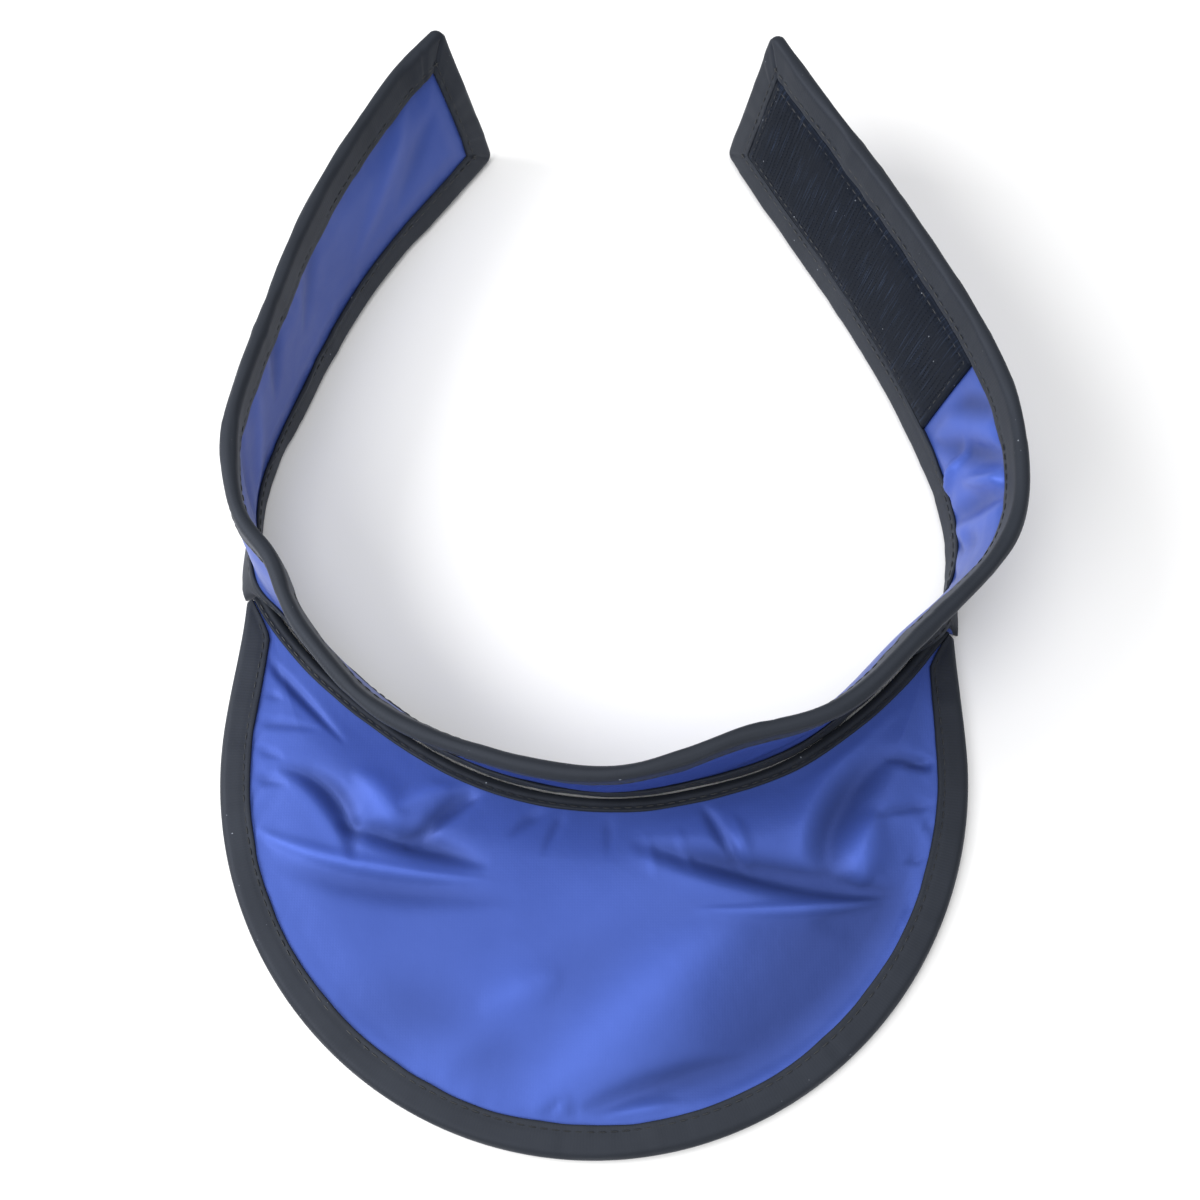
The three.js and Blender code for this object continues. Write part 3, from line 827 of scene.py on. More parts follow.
def coated_nylon(colours):
    """Plain-woven nylon taffeta with a thin coating: satin, with soft highlights along each fold. Its yarns
    lie 0.25 mm apart on the real cloth, and are drawn 0.8 mm apart, because they wouldn't show. The coating
    reflects more than bare nylon and keeps the cloth's blue in its gloss, so the IOR is above nylon's 1.53,
    and a small metallic share and a blue tint colour what it reflects. Its colour is painted darker in its
    dents, as painted shade, and lighter on its ridges, as painted highlight."""
    material, tree = new_material("coated nylon taffeta")
    cloth = add(tree, "ShaderNodeUVMap", uv_map="cloth")
    place = add(tree, "ShaderNodeTexCoord")
    warp, weft = (add(tree, "ShaderNodeTexWave",
                      {"Vector": cloth.outputs["UV"], "Scale": band_scale(0.8 * MM)},
                      wave_type="BANDS", bands_direction=direction) for direction in "XY")
    weave = add(tree, "ShaderNodeMath",
                {0: warp.outputs["Fac"], 1: weft.outputs["Fac"]}, operation="MULTIPLY")
    crinkle = add(tree, "ShaderNodeTexNoise",
                  {"Vector": place.outputs["Object"], "Scale": 1 / (7 * MM), "Detail": 3.0})
    patches = add(tree, "ShaderNodeTexNoise",
                  {"Vector": place.outputs["Object"], "Scale": 1 / (45 * MM), "Detail": 4.0})
    base = add(tree, "ShaderNodeValToRGB", {"Fac": patches.outputs["Fac"]})
    set_ramp(base, [(0.3, colours.nylon), (0.75, colours.nylon_light)])
    # Painted shade and highlight: from the stored relief, the colour is darkened in the dents and lightened
    # on the ridges.
    relief = add(tree, "ShaderNodeAttribute", attribute_name="relief")
    depth = add(tree, "ShaderNodeMapRange",
                {"Value": relief.outputs["Fac"], "From Min": -2.4 * MM, "From Max": 1.6 * MM, "To Min": 0.4,
                 "To Max": 1.2})
    painted_shade_and_highlight = add(tree, "ShaderNodeHueSaturation",
                 {"Color": base.outputs["Color"], "Value": depth.outputs["Result"]})
    sheen = add(tree, "ShaderNodeMapRange",
                {"Value": crinkle.outputs["Fac"], "To Min": 0.38, "To Max": 0.48})
    fine = add(tree, "ShaderNodeBump", {"Height": weave.outputs[0], "Strength": 0.12, "Distance": 0.1 * MM})
    soft = add(tree, "ShaderNodeBump",
               {"Height": crinkle.outputs["Fac"], "Strength": 0.35, "Distance": 0.5 * MM,
                "Normal": fine.outputs["Normal"]})
    return surfaced(material, {
        "Base Color": painted_shade_and_highlight.outputs["Color"], "Roughness": sheen.outputs["Result"],
        "Normal": soft.outputs["Normal"], "IOR": 1.7, "Metallic": 0.1,
        "Specular Tint": rgba(colours.nylon_sheen)})


def with_lint(tree, place, base):
    """A colour with sparse pale specks of lint, 0.3 mm across, which dark tape always holds."""
    lint = add(tree, "ShaderNodeTexNoise",
               {"Vector": place.outputs["Object"], "Scale": 1 / (1.1 * MM), "Detail": 0.0})
    specks = add(tree, "ShaderNodeMapRange",
                 {"Value": lint.outputs["Fac"], "From Min": 0.875, "From Max": 0.91, "To Max": 0.7})
    return add(tree, "ShaderNodeMix",
               {"Factor": specks.outputs["Result"], "A": base, "B": rgba(linear(LINT))}, data_type="RGBA")


def binding_tape(colours):
    """Woven polyester tape with ribs across it, matt with a faint grey sheen where it is pressed over an
    edge. The ribs are 0.5 mm apart on the real tape, and are drawn 0.9 mm apart to show."""
    material, tree = new_material("polyester binding tape")
    cloth = add(tree, "ShaderNodeUVMap", uv_map="cloth")
    place = add(tree, "ShaderNodeTexCoord")
    ribs = add(tree, "ShaderNodeTexWave",
               {"Vector": cloth.outputs["UV"], "Scale": band_scale(0.9 * MM), "Distortion": 0.6,
                "Detail": 1.0, "Detail Scale": 2.0}, wave_type="BANDS", bands_direction="X")
    yarns = add(tree, "ShaderNodeTexNoise",
                {"Vector": cloth.outputs["UV"], "Scale": 1 / (0.7 * MM), "Detail": 2.0})
    weave = add(tree, "ShaderNodeMath", {0: ribs.outputs["Fac"], 1: yarns.outputs["Fac"]}, operation="ADD")
    rubbed = add(tree, "ShaderNodeTexNoise",
                 {"Vector": place.outputs["Object"], "Scale": 1 / (14 * MM), "Detail": 5.0})
    base = add(tree, "ShaderNodeMix",
               {"Factor": rubbed.outputs["Fac"], "A": rgba(colours.tape),
                "B": rgba(scaled(colours.tape, 1.6))}, data_type="RGBA")
    base = with_lint(tree, place, base.outputs["Result"])
    bump = add(tree, "ShaderNodeBump",
               {"Height": weave.outputs[0], "Strength": 0.15, "Distance": 0.08 * MM})
    crumple = add(tree, "ShaderNodeBump",
                  {"Height": rubbed.outputs["Fac"], "Strength": 0.3, "Distance": 0.8 * MM,
                   "Normal": bump.outputs["Normal"]})
    return surfaced(material, {
        "Base Color": base.outputs["Result"], "Roughness": 0.6, "IOR": 1.5, "Specular IOR Level": 0.4,
        "Specular Tint": rgba(linear(TAPE_GLEAM)), "Normal": crumple.outputs["Normal"],
        "Sheen Weight": 0.1, "Sheen Roughness": 0.5, "Sheen Tint": rgba(linear(TAPE_FUZZ))})


def hook_tape(colours):
    """Woven nylon ground with moulded hooks: near black, with fine lighter lines across the strap where
    rows of hooks catch the light."""
    material, tree = new_material("nylon hook tape")
    cloth = add(tree, "ShaderNodeUVMap", uv_map="cloth")
    streaks = add(tree, "ShaderNodeMapping",
                  {"Vector": cloth.outputs["UV"], "Scale": (1 / (0.42 * MM), 1 / (19 * MM), 1.0)})
    lines = add(tree, "ShaderNodeTexNoise",
                {"Vector": streaks.outputs["Vector"], "Scale": 1.0, "Detail": 2.0})
    rows = add(tree, "ShaderNodeTexWave",
               {"Vector": cloth.outputs["UV"], "Scale": band_scale(1.2 * MM), "Distortion": 0.4},
               wave_type="BANDS", bands_direction="X")
    # Painted glints: the lighter lines stand in for light caught by the rows of hooks.
    painted_glint_lines = add(tree, "ShaderNodeValToRGB", {"Fac": lines.outputs["Fac"]})
    set_ramp(painted_glint_lines, [(0.58, colours.hooks), (0.7, scaled(colours.hooks, 4.2))])
    place = add(tree, "ShaderNodeTexCoord")
    base = with_lint(tree, place, painted_glint_lines.outputs["Color"])
    bump = add(tree, "ShaderNodeBump",
               {"Height": rows.outputs["Fac"], "Strength": 0.2, "Distance": 0.1 * MM})
    return surfaced(material, {
        "Base Color": base.outputs["Result"], "Roughness": 0.55, "IOR": 1.53, "Specular IOR Level": 0.12,
        "Specular Tint": rgba(linear(HOOK_GLEAM)), "Normal": bump.outputs["Normal"]})


def loop_tape(colours):
    """Brushed nylon loops: a dull, fuzzy black that is lightest at a low angle."""
    material, tree = new_material("brushed loop tape")
    place = add(tree, "ShaderNodeTexCoord")
    fuzz = add(tree, "ShaderNodeTexNoise",
               {"Vector": place.outputs["Object"], "Scale": 1 / (1.1 * MM), "Detail": 4.0, "Roughness": 0.7})
    base = add(tree, "ShaderNodeValToRGB", {"Fac": fuzz.outputs["Fac"]})
    set_ramp(base, [(0.35, scaled(colours.loops, 0.6)), (0.7, scaled(colours.loops, 1.5))])
    bump = add(tree, "ShaderNodeBump",
               {"Height": fuzz.outputs["Fac"], "Strength": 0.8, "Distance": 0.4 * MM})
    return surfaced(material, {
        "Base Color": base.outputs["Color"], "Roughness": 0.9, "IOR": 1.5,
        "Normal": bump.outputs["Normal"], "Sheen Weight": 0.4, "Sheen Roughness": 0.6,
        "Sheen Tint": rgba(linear(LOOP_FUZZ))})


def sewing_thread(colours):
    """Twisted polyester thread: dark and slightly shiny, with the twist as darker and lighter flecks."""
    material, tree = new_material("polyester thread")
    place = add(tree, "ShaderNodeTexCoord")
    twist = add(tree, "ShaderNodeTexNoise",
                {"Vector": place.outputs["Object"], "Scale": 1 / (0.6 * MM), "Detail": 2.0})
    base = add(tree, "ShaderNodeMix",
               {"Factor": twist.outputs["Fac"], "A": rgba(scaled(colours.thread, 0.7)),
                "B": rgba(colours.thread)}, data_type="RGBA")
    return surfaced(material, {"Base Color": base.outputs["Result"], "Roughness": 0.5, "IOR": 1.5})


def material_of(make, colours):
    """A material that several pieces share, made once."""
    key = make.__name__
    if key not in material_of.made:
        material_of.made[key] = make(colours)
    return material_of.made[key]


material_of.made = {}


def even(low, high, step):
    """Even places from low to high, about a step apart."""
    return np.linspace(low, high, max(2, round((high - low) / step) + 1))


def even_odd(low, high, step):
    """An odd number of even places, so that every second one takes in both ends."""
    return np.linspace(low, high, 2 * round((high - low) / step / 2) + 1)


def from_tapes(shape, along, up):
    """How far a place on the band is from the inner edge of the tape round it."""
    s = shape.sizes
    from_edges = np.minimum(up, s.band_height - up)
    from_ends = shape.half_length - np.abs(along)
    return np.minimum(from_edges, from_ends) - s.band_tape_width


def clear_of_patches(shape, along, face):
    """1 where the face is bare cloth and 0 under its patch."""
    s = shape.sizes
    reach = s.hook_length if face < 0 else s.loop_length
    clear = shape.patch_start - reach - CLEAR_OF_TAPE
    return 1 - smooth(-face * along, clear - PATCH_RISE, clear)


def band_folds(shape, along, up, face):
    """How far the folds lift the cloth on one face of the band."""
    folds = fold_height(along, up, INNER_FOLDS if face < 0 else OUTER_FOLDS)
    clear_of_tapes = smooth(from_tapes(shape, along, up), UNDER_TAPE, BAND_FOLD_RISE)
    return clear_of_patches(shape, along, face) * clear_of_tapes * folds


def band_relief(shape, along, up, face):
    """How far the padded cloth on one face of the band stands off its flat layer, without its folds."""
    bare = clear_of_patches(shape, along, face)
    room = from_tapes(shape, along, up)
    inside = smooth(room, 0, BAND_SWELL_RISE)
    swell = shape.sizes.band_swell * inside
    gather = ripple(along, (BAND_GATHER,), face) * faded(np.abs(room), BAND_GATHER_FADE)
    soft = ripple_over(along, up, BAND_SLACK, face) * inside
    return bare * (swell + smooth(room, UNDER_TAPE, BAND_FOLD_RISE) * gather + soft)


def make_neck_band(sizes, colours):
    """The band's cover: two layers of nylon over the padding."""
    shape = CollarShape(sizes)
    reach = shape.half_length - shape.pad_inset
    along = even_odd(-reach, reach, COVER_STEP)
    up = even_odd(shape.pad_inset, sizes.band_height - shape.pad_inset, COVER_STEP)
    grid_along, grid_up = np.meshgrid(along, up, indexing="ij")
    faces = []
    reliefs = []
    for face in (1, -1):
        folds = band_folds(shape, grid_along, grid_up, face)
        stands = shape.half_pad + folds + band_relief(shape, grid_along, grid_up, face)
        out = face * above(stands, THINNEST_LAYER)
        rows = shape.band(grid_along, grid_up, out)
        bare = clear_of_patches(shape, grid_along, face)
        room = from_tapes(shape, grid_along, grid_up)
        free = smooth(room, UNDER_TAPE, CLEAR_OF_TAPE) * bare
        gathered = faded(np.maximum(room, 0), BAND_LOOSE_FADE)
        rows = settled(rows, 1 - free, BAND_GATHERED * gathered * bare, BAND_REACH)
        faces.append(rows)
        reliefs.append(folds)
    flat = np.stack([grid_along, grid_up], -1)
    uvs = front_and_back(flat, flat)
    piece = solid_from_rings("neck_band_cover", front_and_back(*faces), uvs, closed=False)
    store_relief(piece, front_and_back(*reliefs))
    finish_piece(piece, "nylon_cover", material_of(coated_nylon, colours), "neck_band")


def tape_section(shape, width):
    """Folded tape in section, for each width: inset from the bound edge, out from the middle and how far
    round the tape's outside each point is. The fold is a roll, and the legs end in soft edges."""
    width = np.asarray(width)[:, None]
    soft = TAPE_SOFT_EDGE
    roll = TAPE_ROLL * shape.tape_outside
    leg = np.linspace(1, 0, TAPE_LEG_POINTS)[None, :-1]
    leg_inset = roll + (width - soft - roll) * leg
    turn = np.linspace(math.pi / 2, -math.pi / 2, TAPE_TURN_POINTS)[None, :]
    fold_inset = np.broadcast_to(roll - roll * np.cos(turn), (len(width), turn.size))
    fold_out = np.broadcast_to(shape.tape_outside * np.sin(turn), fold_inset.shape)
    top = np.full(leg_inset.shape, shape.tape_outside)
    edge = np.broadcast_to(width, (len(width), 1))
    lining = np.full((len(width), 1), shape.sizes.tape_thickness)
    inside = np.full((len(width), 1), shape.tape_inside)
    inset = np.concatenate([edge, edge, leg_inset, fold_inset, leg_inset[:, ::-1], edge, edge,
                            lining, lining], 1)
    out = np.concatenate([inside, np.full_like(inside, shape.tape_outside - soft), top, fold_out,
                          -top, np.full_like(inside, soft - shape.tape_outside), -inside,
                          -inside, inside], 1)
    step = np.hypot(np.diff(inset, axis=1), np.diff(out, axis=1))
    around = np.concatenate([np.zeros((len(width), 1)), np.cumsum(step, 1)], 1)
    return inset, out, around


def tape_relief(inset, out, width, run, seed):
    """Puckers, a groove along the stitches and a little unevenness, added to a tape's section."""
    width = np.asarray(width)[:, None]
    run = np.asarray(run)[:, None]
    from_edge = width - inset
    side = np.sign(out)
    outer = np.abs(out) > TAPE_OUTER_FACE
    bump = drift(run, TAPE_PUCKER.pitch * MM, seed + TAPE_PUCKER.seed)
    pucker = TAPE_PUCKER.height * MM * np.sign(bump) * np.maximum(np.abs(bump) - PUCKER_LEAST, 0)
    crease = pucker * smooth(from_edge, 0, TAPE_PUCKER_RISE)
    seam = groove(from_edge - STITCH_GROOVE, *TAPE_GROOVE)
    gather = ripple(run, (TAPE_GATHER,), seed) * faded(from_edge, TAPE_GATHER_FADE)
    slack = ripple_over(run, side * inset, TAPE_SLACK, seed)
    uneven = ripple(run, TAPE_UNEVEN, seed)
    out = out + side * outer * (gather + slack + crease - seam)
    inset = inset + uneven * faded(inset, TAPE_UNEVEN_FADE) * outer
    return inset, out


def stepped(low, high, step, fine, reach):
    """Even stations, with finer ones within reach of both ends."""
    start = np.arange(0, reach, fine)
    return np.concatenate([low + start, even(low + reach, high - reach, step), (high - start)[::-1]])


def band_tape_rings(shape):
    """The stations of the tape round the band. Each row is a place along, a height, and which of the two it
    follows, with the length that the tape has run."""
    top = shape.sizes.band_height
    near_edge_end, near_end_end = TAPE_STATIONS_NEAR_END
    edge = stepped(-shape.half_length, shape.half_length, TAPE_STEP, TAPE_FINE_STEP, near_edge_end)
    end = stepped(0, top, TAPE_STEP, TAPE_FINE_STEP, near_end_end)[1:-1]
    rows = [(a, top, True) for a in edge]
    rows += [(shape.half_length, h, False) for h in end[::-1]]
    rows += [(a, 0.0, True) for a in edge[::-1]]
    rows += [(-shape.half_length, h, False) for h in end]
    along, height, on_edge = (np.array(c) for c in zip(*rows))
    steps = np.hypot(np.diff(along), np.diff(height))
    return along, height, on_edge, np.concatenate([[0], np.cumsum(steps)])


def tape_piece(name, rings, run, around, closed, colours, node):
    """A piece of tape through rings, with its length and its way round as the cloth's UV map."""
    uvs = np.stack([np.broadcast_to(run[:, None], around.shape), around], -1)
    piece = solid_from_rings(name, rings, uvs, closed)
    finish_piece(piece, "binding_tape", material_of(binding_tape, colours), node)


def make_band_binding(sizes, colours):
    """The tape folded over the band's edge, all the way round, with a mitre at each corner."""
    shape = CollarShape(sizes)
    along, height, on_edge, run = band_tape_rings(shape)
    wander = ripple(run, BAND_TAPE_WANDER)
    beside_patch = np.abs(along) > shape.half_length - sizes.hook_length - 2 * sizes.band_tape_width
    widths = sizes.band_tape_width + np.where(beside_patch, np.maximum(wander, sizes.seat_gap), wander)
    inset, out, around = tape_section(shape, widths)
    inset, out = tape_relief(inset, out, widths, run, BAND_TAPE_SEED)
    half = sizes.band_height / 2
    straight = shape.half_length - 2 * sizes.band_tape_width
    shrunk = straight + (np.abs(along)[:, None] - straight) * (
        (shape.half_length - inset - straight) / (shape.half_length - straight))
    edge_along = np.where(np.abs(along)[:, None] > straight, np.sign(along)[:, None] * shrunk, along[:, None])
    end_along = np.sign(along)[:, None] * (shape.half_length - inset)
    place = np.where(on_edge[:, None], edge_along, end_along)
    level = half + np.sign(height[:, None] - half) * (half - inset)
    end_level = half + (height[:, None] / half - 1) * (half - inset)
    up = np.where(on_edge[:, None], level, end_level)
    diagonal = np.abs((shape.half_length - np.abs(place)) - (half - np.abs(up - half))) / math.sqrt(2)
    mitre = groove(diagonal, *MITRE) * smooth(inset, *MITRE_RISE)
    out = out - np.sign(out) * mitre * (np.abs(out) > TAPE_OUTER_FACE)
    rings = shape.band(place, up, out)
    tape_piece("band_binding_tape", rings, run, around, True, colours, "band_binding")


def make_patch(shape, name, patch_length, side, face):
    """A patch sewn between the tapes at one end of the band, with a soft edge and a slight waviness."""
    sizes, start, low = shape.sizes, shape.patch_start, shape.patch_low
    along = even(start - patch_length, start, PATCH_STEP) * side
    up = even(low, sizes.band_height - low, PATCH_STEP)
    grid_along, grid_up = np.meshgrid(np.sort(along), up, indexing="ij")
    from_side = np.minimum(np.minimum(grid_up - low, sizes.band_height - low - grid_up),
                           np.minimum(start - np.abs(grid_along), np.abs(grid_along) - start + patch_length))
    edge = np.sqrt(smooth(from_side, *PATCH_EDGE_RISE))
    seam = groove(from_side - PATCH_SEAM, *PATCH_GROOVE)
    wave = ripple_over(grid_along, grid_up, PATCH_SLACK)
    top = shape.tape_inside + sizes.patch_thickness * edge - seam + wave * edge
    under = np.full(top.shape, shape.tape_inside)
    rings = front_and_back(*(shape.band(grid_along, grid_up, face * out) for out in (top, under)))
    flat = np.stack([grid_along, grid_up], -1)
    return solid_from_rings(name, rings, front_and_back(flat, flat), closed=False)


def make_fastening(sizes, colours):
    """The hook patch inside the right end and the loop patch outside the left end."""
    shape = CollarShape(sizes)
    for kind, make, cut, side, face in (("hook", hook_tape, sizes.hook_length, 1, -1),
                                        ("loop", loop_tape, sizes.loop_length, -1, 1)):
        patch = make_patch(shape, kind + "_patch_tape", cut, side, face)
        finish_piece(patch, kind + "_tape", material_of(make, colours), kind + "_patch")
    make_hooks(shape, colours)


def new_tree(name, inputs):
    """A tree of geometry nodes with these lengths as inputs, and its input node."""
    tree = bpy.data.node_groups.new(name, "GeometryNodeTree")
    tree.interface.new_socket(name="Geometry", in_out="INPUT", socket_type="NodeSocketGeometry")
    for name_of_length in inputs:
        tree.interface.new_socket(name=name_of_length, in_out="INPUT", socket_type="NodeSocketFloat")
    tree.interface.new_socket(name="Geometry", in_out="OUTPUT", socket_type="NodeSocketGeometry")
    return tree, add(tree, "NodeGroupInput")


def repeat(tree, points, instance, rotation, material):
    """Ends a tree with the instance on each point, as plain geometry in the material."""
    placed = add(tree, "GeometryNodeInstanceOnPoints",
                 {"Points": points, "Instance": instance, "Rotation": rotation})
    real = add(tree, "GeometryNodeRealizeInstances", {"Geometry": placed.outputs["Instances"]})
    dressed = add(tree, "GeometryNodeSetMaterial",
                  {"Geometry": real.outputs["Geometry"], "Material": material})
    add(tree, "NodeGroupOutput", {"Geometry": dressed.outputs["Geometry"]})
    return tree


def hook_tree(material):
    """Sets a small bent hook on each vertex, standing on the surface."""
    tree, group = new_tree("moulded hooks", ("Hook Radius", "Wire Radius"))
    arc = add(tree, "GeometryNodeCurveArc",
              {"Resolution": 5, "Radius": group.outputs["Hook Radius"], "Start Angle": 0.0,
               "Sweep Angle": math.radians(HOOK_SWEEP)})
    wire = add(tree, "GeometryNodeCurvePrimitiveCircle",
               {"Resolution": 3, "Radius": group.outputs["Wire Radius"]})
    hook = add(tree, "GeometryNodeCurveToMesh",
               {"Curve": arc.outputs["Curve"], "Profile Curve": wire.outputs["Curve"], "Fill Caps": True})
    upright = add(tree, "GeometryNodeTransform",
                  {"Geometry": hook.outputs["Mesh"], "Rotation": (math.radians(90), 0.0, 0.0)})
    normal = add(tree, "GeometryNodeInputNormal")
    stand = add(tree, "FunctionNodeAlignRotationToVector", {"Vector": normal.outputs["Normal"]}, axis="Z")
    turn = add(tree, "FunctionNodeAlignRotationToVector",
               {"Rotation": stand.outputs["Rotation"], "Vector": (0.0, 0.0, 1.0)}, axis="X", pivot_axis="Z")
    return repeat(tree, group.outputs["Geometry"], upright.outputs["Geometry"], turn.outputs["Rotation"],
                  material)


def run_tree(piece, tree, values):
    """Runs a tree of nodes on a piece, with its inputs set by name, and keeps the result as its mesh."""
    modifier = piece.modifiers.new(tree.name, "NODES")
    modifier.node_group = tree
    for socket in tree.interface.items_tree:
        if socket.in_out == "INPUT" and socket.name in values:
            modifier[socket.identifier] = values[socket.name]
    return applied(piece)


def make_hooks(shape, colours):
    """Rows of moulded hooks on the hook patch, each a little out of line."""
    sizes, start, low = shape.sizes, shape.patch_start, shape.patch_low + HOOK_BORDER
    along = even(start - sizes.hook_length + HOOK_BORDER, start - HOOK_BORDER, sizes.hook_pitch)
    up = even(low, sizes.band_height - low, HOOK_ROW_PITCH * sizes.hook_pitch)
    grid_along, grid_up = np.meshgrid(along, up, indexing="ij")
    out_of_line = drift_over(grid_along, grid_up, HOOK_DRIFT.pitch * MM, HOOK_DRIFT.seed)
    grid_along = grid_along + HOOK_DRIFT.height * sizes.hook_pitch * out_of_line
    points = shape.band(grid_along, grid_up, -(shape.tape_inside + sizes.patch_thickness - SUNK))
    mesh = bpy.data.meshes.new("hook_rows")
    faces = sheet_faces(*grid_along.shape)[:, ::-1]
    mesh.from_pydata(points.reshape(-1, 3).tolist(), [], faces.tolist())
    piece = in_scene("hook_rows", mesh)
    material = material_of(hook_tape, colours)
    run_tree(piece, hook_tree(material), {"Hook Radius": HOOK_RADIUS, "Wire Radius": HOOK_WIRE})
    finish_piece(piece, "hook_tape", material)


def bib_rows(shape):
    """The places of the bib's cover, from its left corner to its right one, each row from the neckline
    down to the outer edge."""
    s = shape.sizes
    share = np.linspace(-1, 1, BIB_ALONG)
    inset = np.full(BIB_ALONG, shape.pad_inset)
    end = 1 + 2 * (CORNER_LAP - s.seat_gap) / s.seam_length
    top = shape.from_neckline(share * end, inset)
    trim = 1 - 2 * s.seat_gap / shape.rim_length
    bottom = shape.from_rim(0.5 + share * trim / 2, inset)
    down = np.linspace(0, 1, BIB_DOWN)[None, :, None]
    return top[:, None] * (1 - down) + bottom[:, None] * down


def bib_from_tapes(shape, places):
    """How far places on the bib are from the inner edges of the tapes round it."""
    line = shape.neckline(np.linspace(-1, 1, NECKLINE_POINTS))
    edge = shape.rim(np.linspace(0, 1, RIM_POINTS))
    from_neck = distance_to(places, line) - shape.sizes.neck_tape_width
    return np.minimum(from_neck, distance_to(places, edge) - shape.sizes.bib_tape_width)


def make_bib_panel(sizes, colours):
    """The bib's cover, with its folds, gathers along the tapes and a flat back."""
    shape = CollarShape(sizes)
    places = bib_rows(shape)
    room = bib_from_tapes(shape, places)
    world = places + shape.shift[:2]
    free = smooth(room, UNDER_TAPE / 2, BIB_FOLD_RISE)
    swell = sizes.bib_swell * smooth(room, UNDER_TAPE, BIB_SWELL_RISE)
    folds = fold_height(world[..., 0], world[..., 1], BIB_FOLDS)
    soft = ripple_over(world[..., 0], world[..., 1], BIB_SLACK) * free
    run = np.linspace(0, shape.rim_length, BIB_ALONG)[:, None]
    spread = GATHER_SPREAD.height * drift(run, GATHER_SPREAD.pitch * MM, GATHER_SPREAD.seed)
    gathers = ripple(run, (BIB_GATHER,)) * (1 - GATHER_SPREAD.height + spread)
    near_rim = np.linspace(0, 1, BIB_DOWN)
    clear = smooth(room, UNDER_TAPE, CLEAR_OF_TAPE)
    fade = faded(np.maximum(room, 0), BIB_GATHER_FADE) * clear * near_rim
    soft = soft + gathers * fade
    back_height = shape.tape_outside - shape.half_pad - BIB_BACK_SWELL * smooth(room, 0, BIB_BACK_RISE)
    height = shape.tape_outside + shape.half_pad + swell + free * folds + soft
    front = shape.on_bib(places, above(height, back_height + THINNEST_COVER))
    held = 1 - smooth(room, 1.5 * UNDER_TAPE, CLEAR_OF_TAPE / 2)
    gathered = faded(np.maximum(room, 0), BIB_LOOSE_FADE)
    front = settled(front, held, BIB_GATHERED + (1 - BIB_GATHERED) * gathered, BIB_REACH)
    back = shape.on_bib(places, back_height)
    front[..., 2] = above(front[..., 2], back[..., 2] + THINNEST_COVER)
    relief = front[..., 2] - shape.shift[2] - shape.tape_outside - shape.half_pad - swell
    uvs = front_and_back(world, world)
    piece = solid_from_rings("bib_cover", front_and_back(front, back), uvs, closed=False)
    store_relief(piece, front_and_back(relief, np.zeros_like(relief)))
    finish_piece(piece, "nylon_cover", material_of(coated_nylon, colours), "bib_panel")


def make_bib_tape(shape, name, place_at, run, widths, seed, colours, node):
    """A tape along one of the bib's edges. place_at gives the places at an inset from that edge."""
    inset, out, around = tape_section(shape, widths)
    inset, out = tape_relief(inset, out, widths, run, seed)
    columns = [shape.on_bib(place_at(inset[:, k]), shape.tape_outside + out[:, k])
               for k in range(inset.shape[1])]
    tape_piece(name, np.stack(columns, 1), run, around, False, colours, node)


def make_bib_bindings(sizes, colours):
    """The tapes round the bib's outer edge and along its neckline."""
    shape = CollarShape(sizes)
    share = np.linspace(0, 1, round(shape.rim_length / TAPE_STEP))
    run = share * shape.rim_length
    widths = shape.rim_tape_width(share)
    widths = widths + ripple(run, RIM_TAPE_WANDER) * smooth(widths, NARROW_TAPE, sizes.bib_tape_width)
    make_bib_tape(shape, "bib_edge_tape", lambda inset: shape.from_rim(share, inset), run, widths,
                  RIM_TAPE_SEED, colours, "bib_edge_binding")
    end = 1 + 2 * CORNER_LAP / sizes.seam_length
    neck = np.linspace(-end, end, round(sizes.seam_length / TAPE_STEP))
    neck_run = (neck + 1) * sizes.seam_length / 2
    neck_widths = sizes.neck_tape_width + ripple(neck_run, NECK_TAPE_WANDER)
    make_bib_tape(shape, "bib_neck_tape", lambda inset: shape.from_neckline(neck, inset), neck_run,
                  neck_widths, NECK_TAPE_SEED, colours, "bib_neck_binding")


def stitch_tree(material):
    """Sets a stitch at even distances along each path, lying along it."""
    tree, group = new_tree("stitches", ("Pitch", "Stitch Length", "Thread Thickness"))
    path = add(tree, "GeometryNodeMeshToCurve", {"Mesh": group.outputs["Geometry"]})
    even_path = add(tree, "GeometryNodeResampleCurve",
                    {"Curve": path.outputs["Curve"], "Length": group.outputs["Pitch"]}, mode="LENGTH")
    bead = add(tree, "GeometryNodeMeshUVSphere", {"Segments": 6, "Rings": 5, "Radius": 0.5})
    size = add(tree, "ShaderNodeCombineXYZ",
               {"X": group.outputs["Thread Thickness"], "Y": group.outputs["Thread Thickness"],
                "Z": group.outputs["Stitch Length"]})
    stitch = add(tree, "GeometryNodeTransform",
                 {"Geometry": bead.outputs["Mesh"], "Scale": size.outputs["Vector"]})
    tangent = add(tree, "GeometryNodeInputTangent")
    lie = add(tree, "FunctionNodeAlignRotationToVector", {"Vector": tangent.outputs["Tangent"]}, axis="Z")
    return repeat(tree, even_path.outputs["Curve"], stitch.outputs["Geometry"], lie.outputs["Rotation"],
                  material)


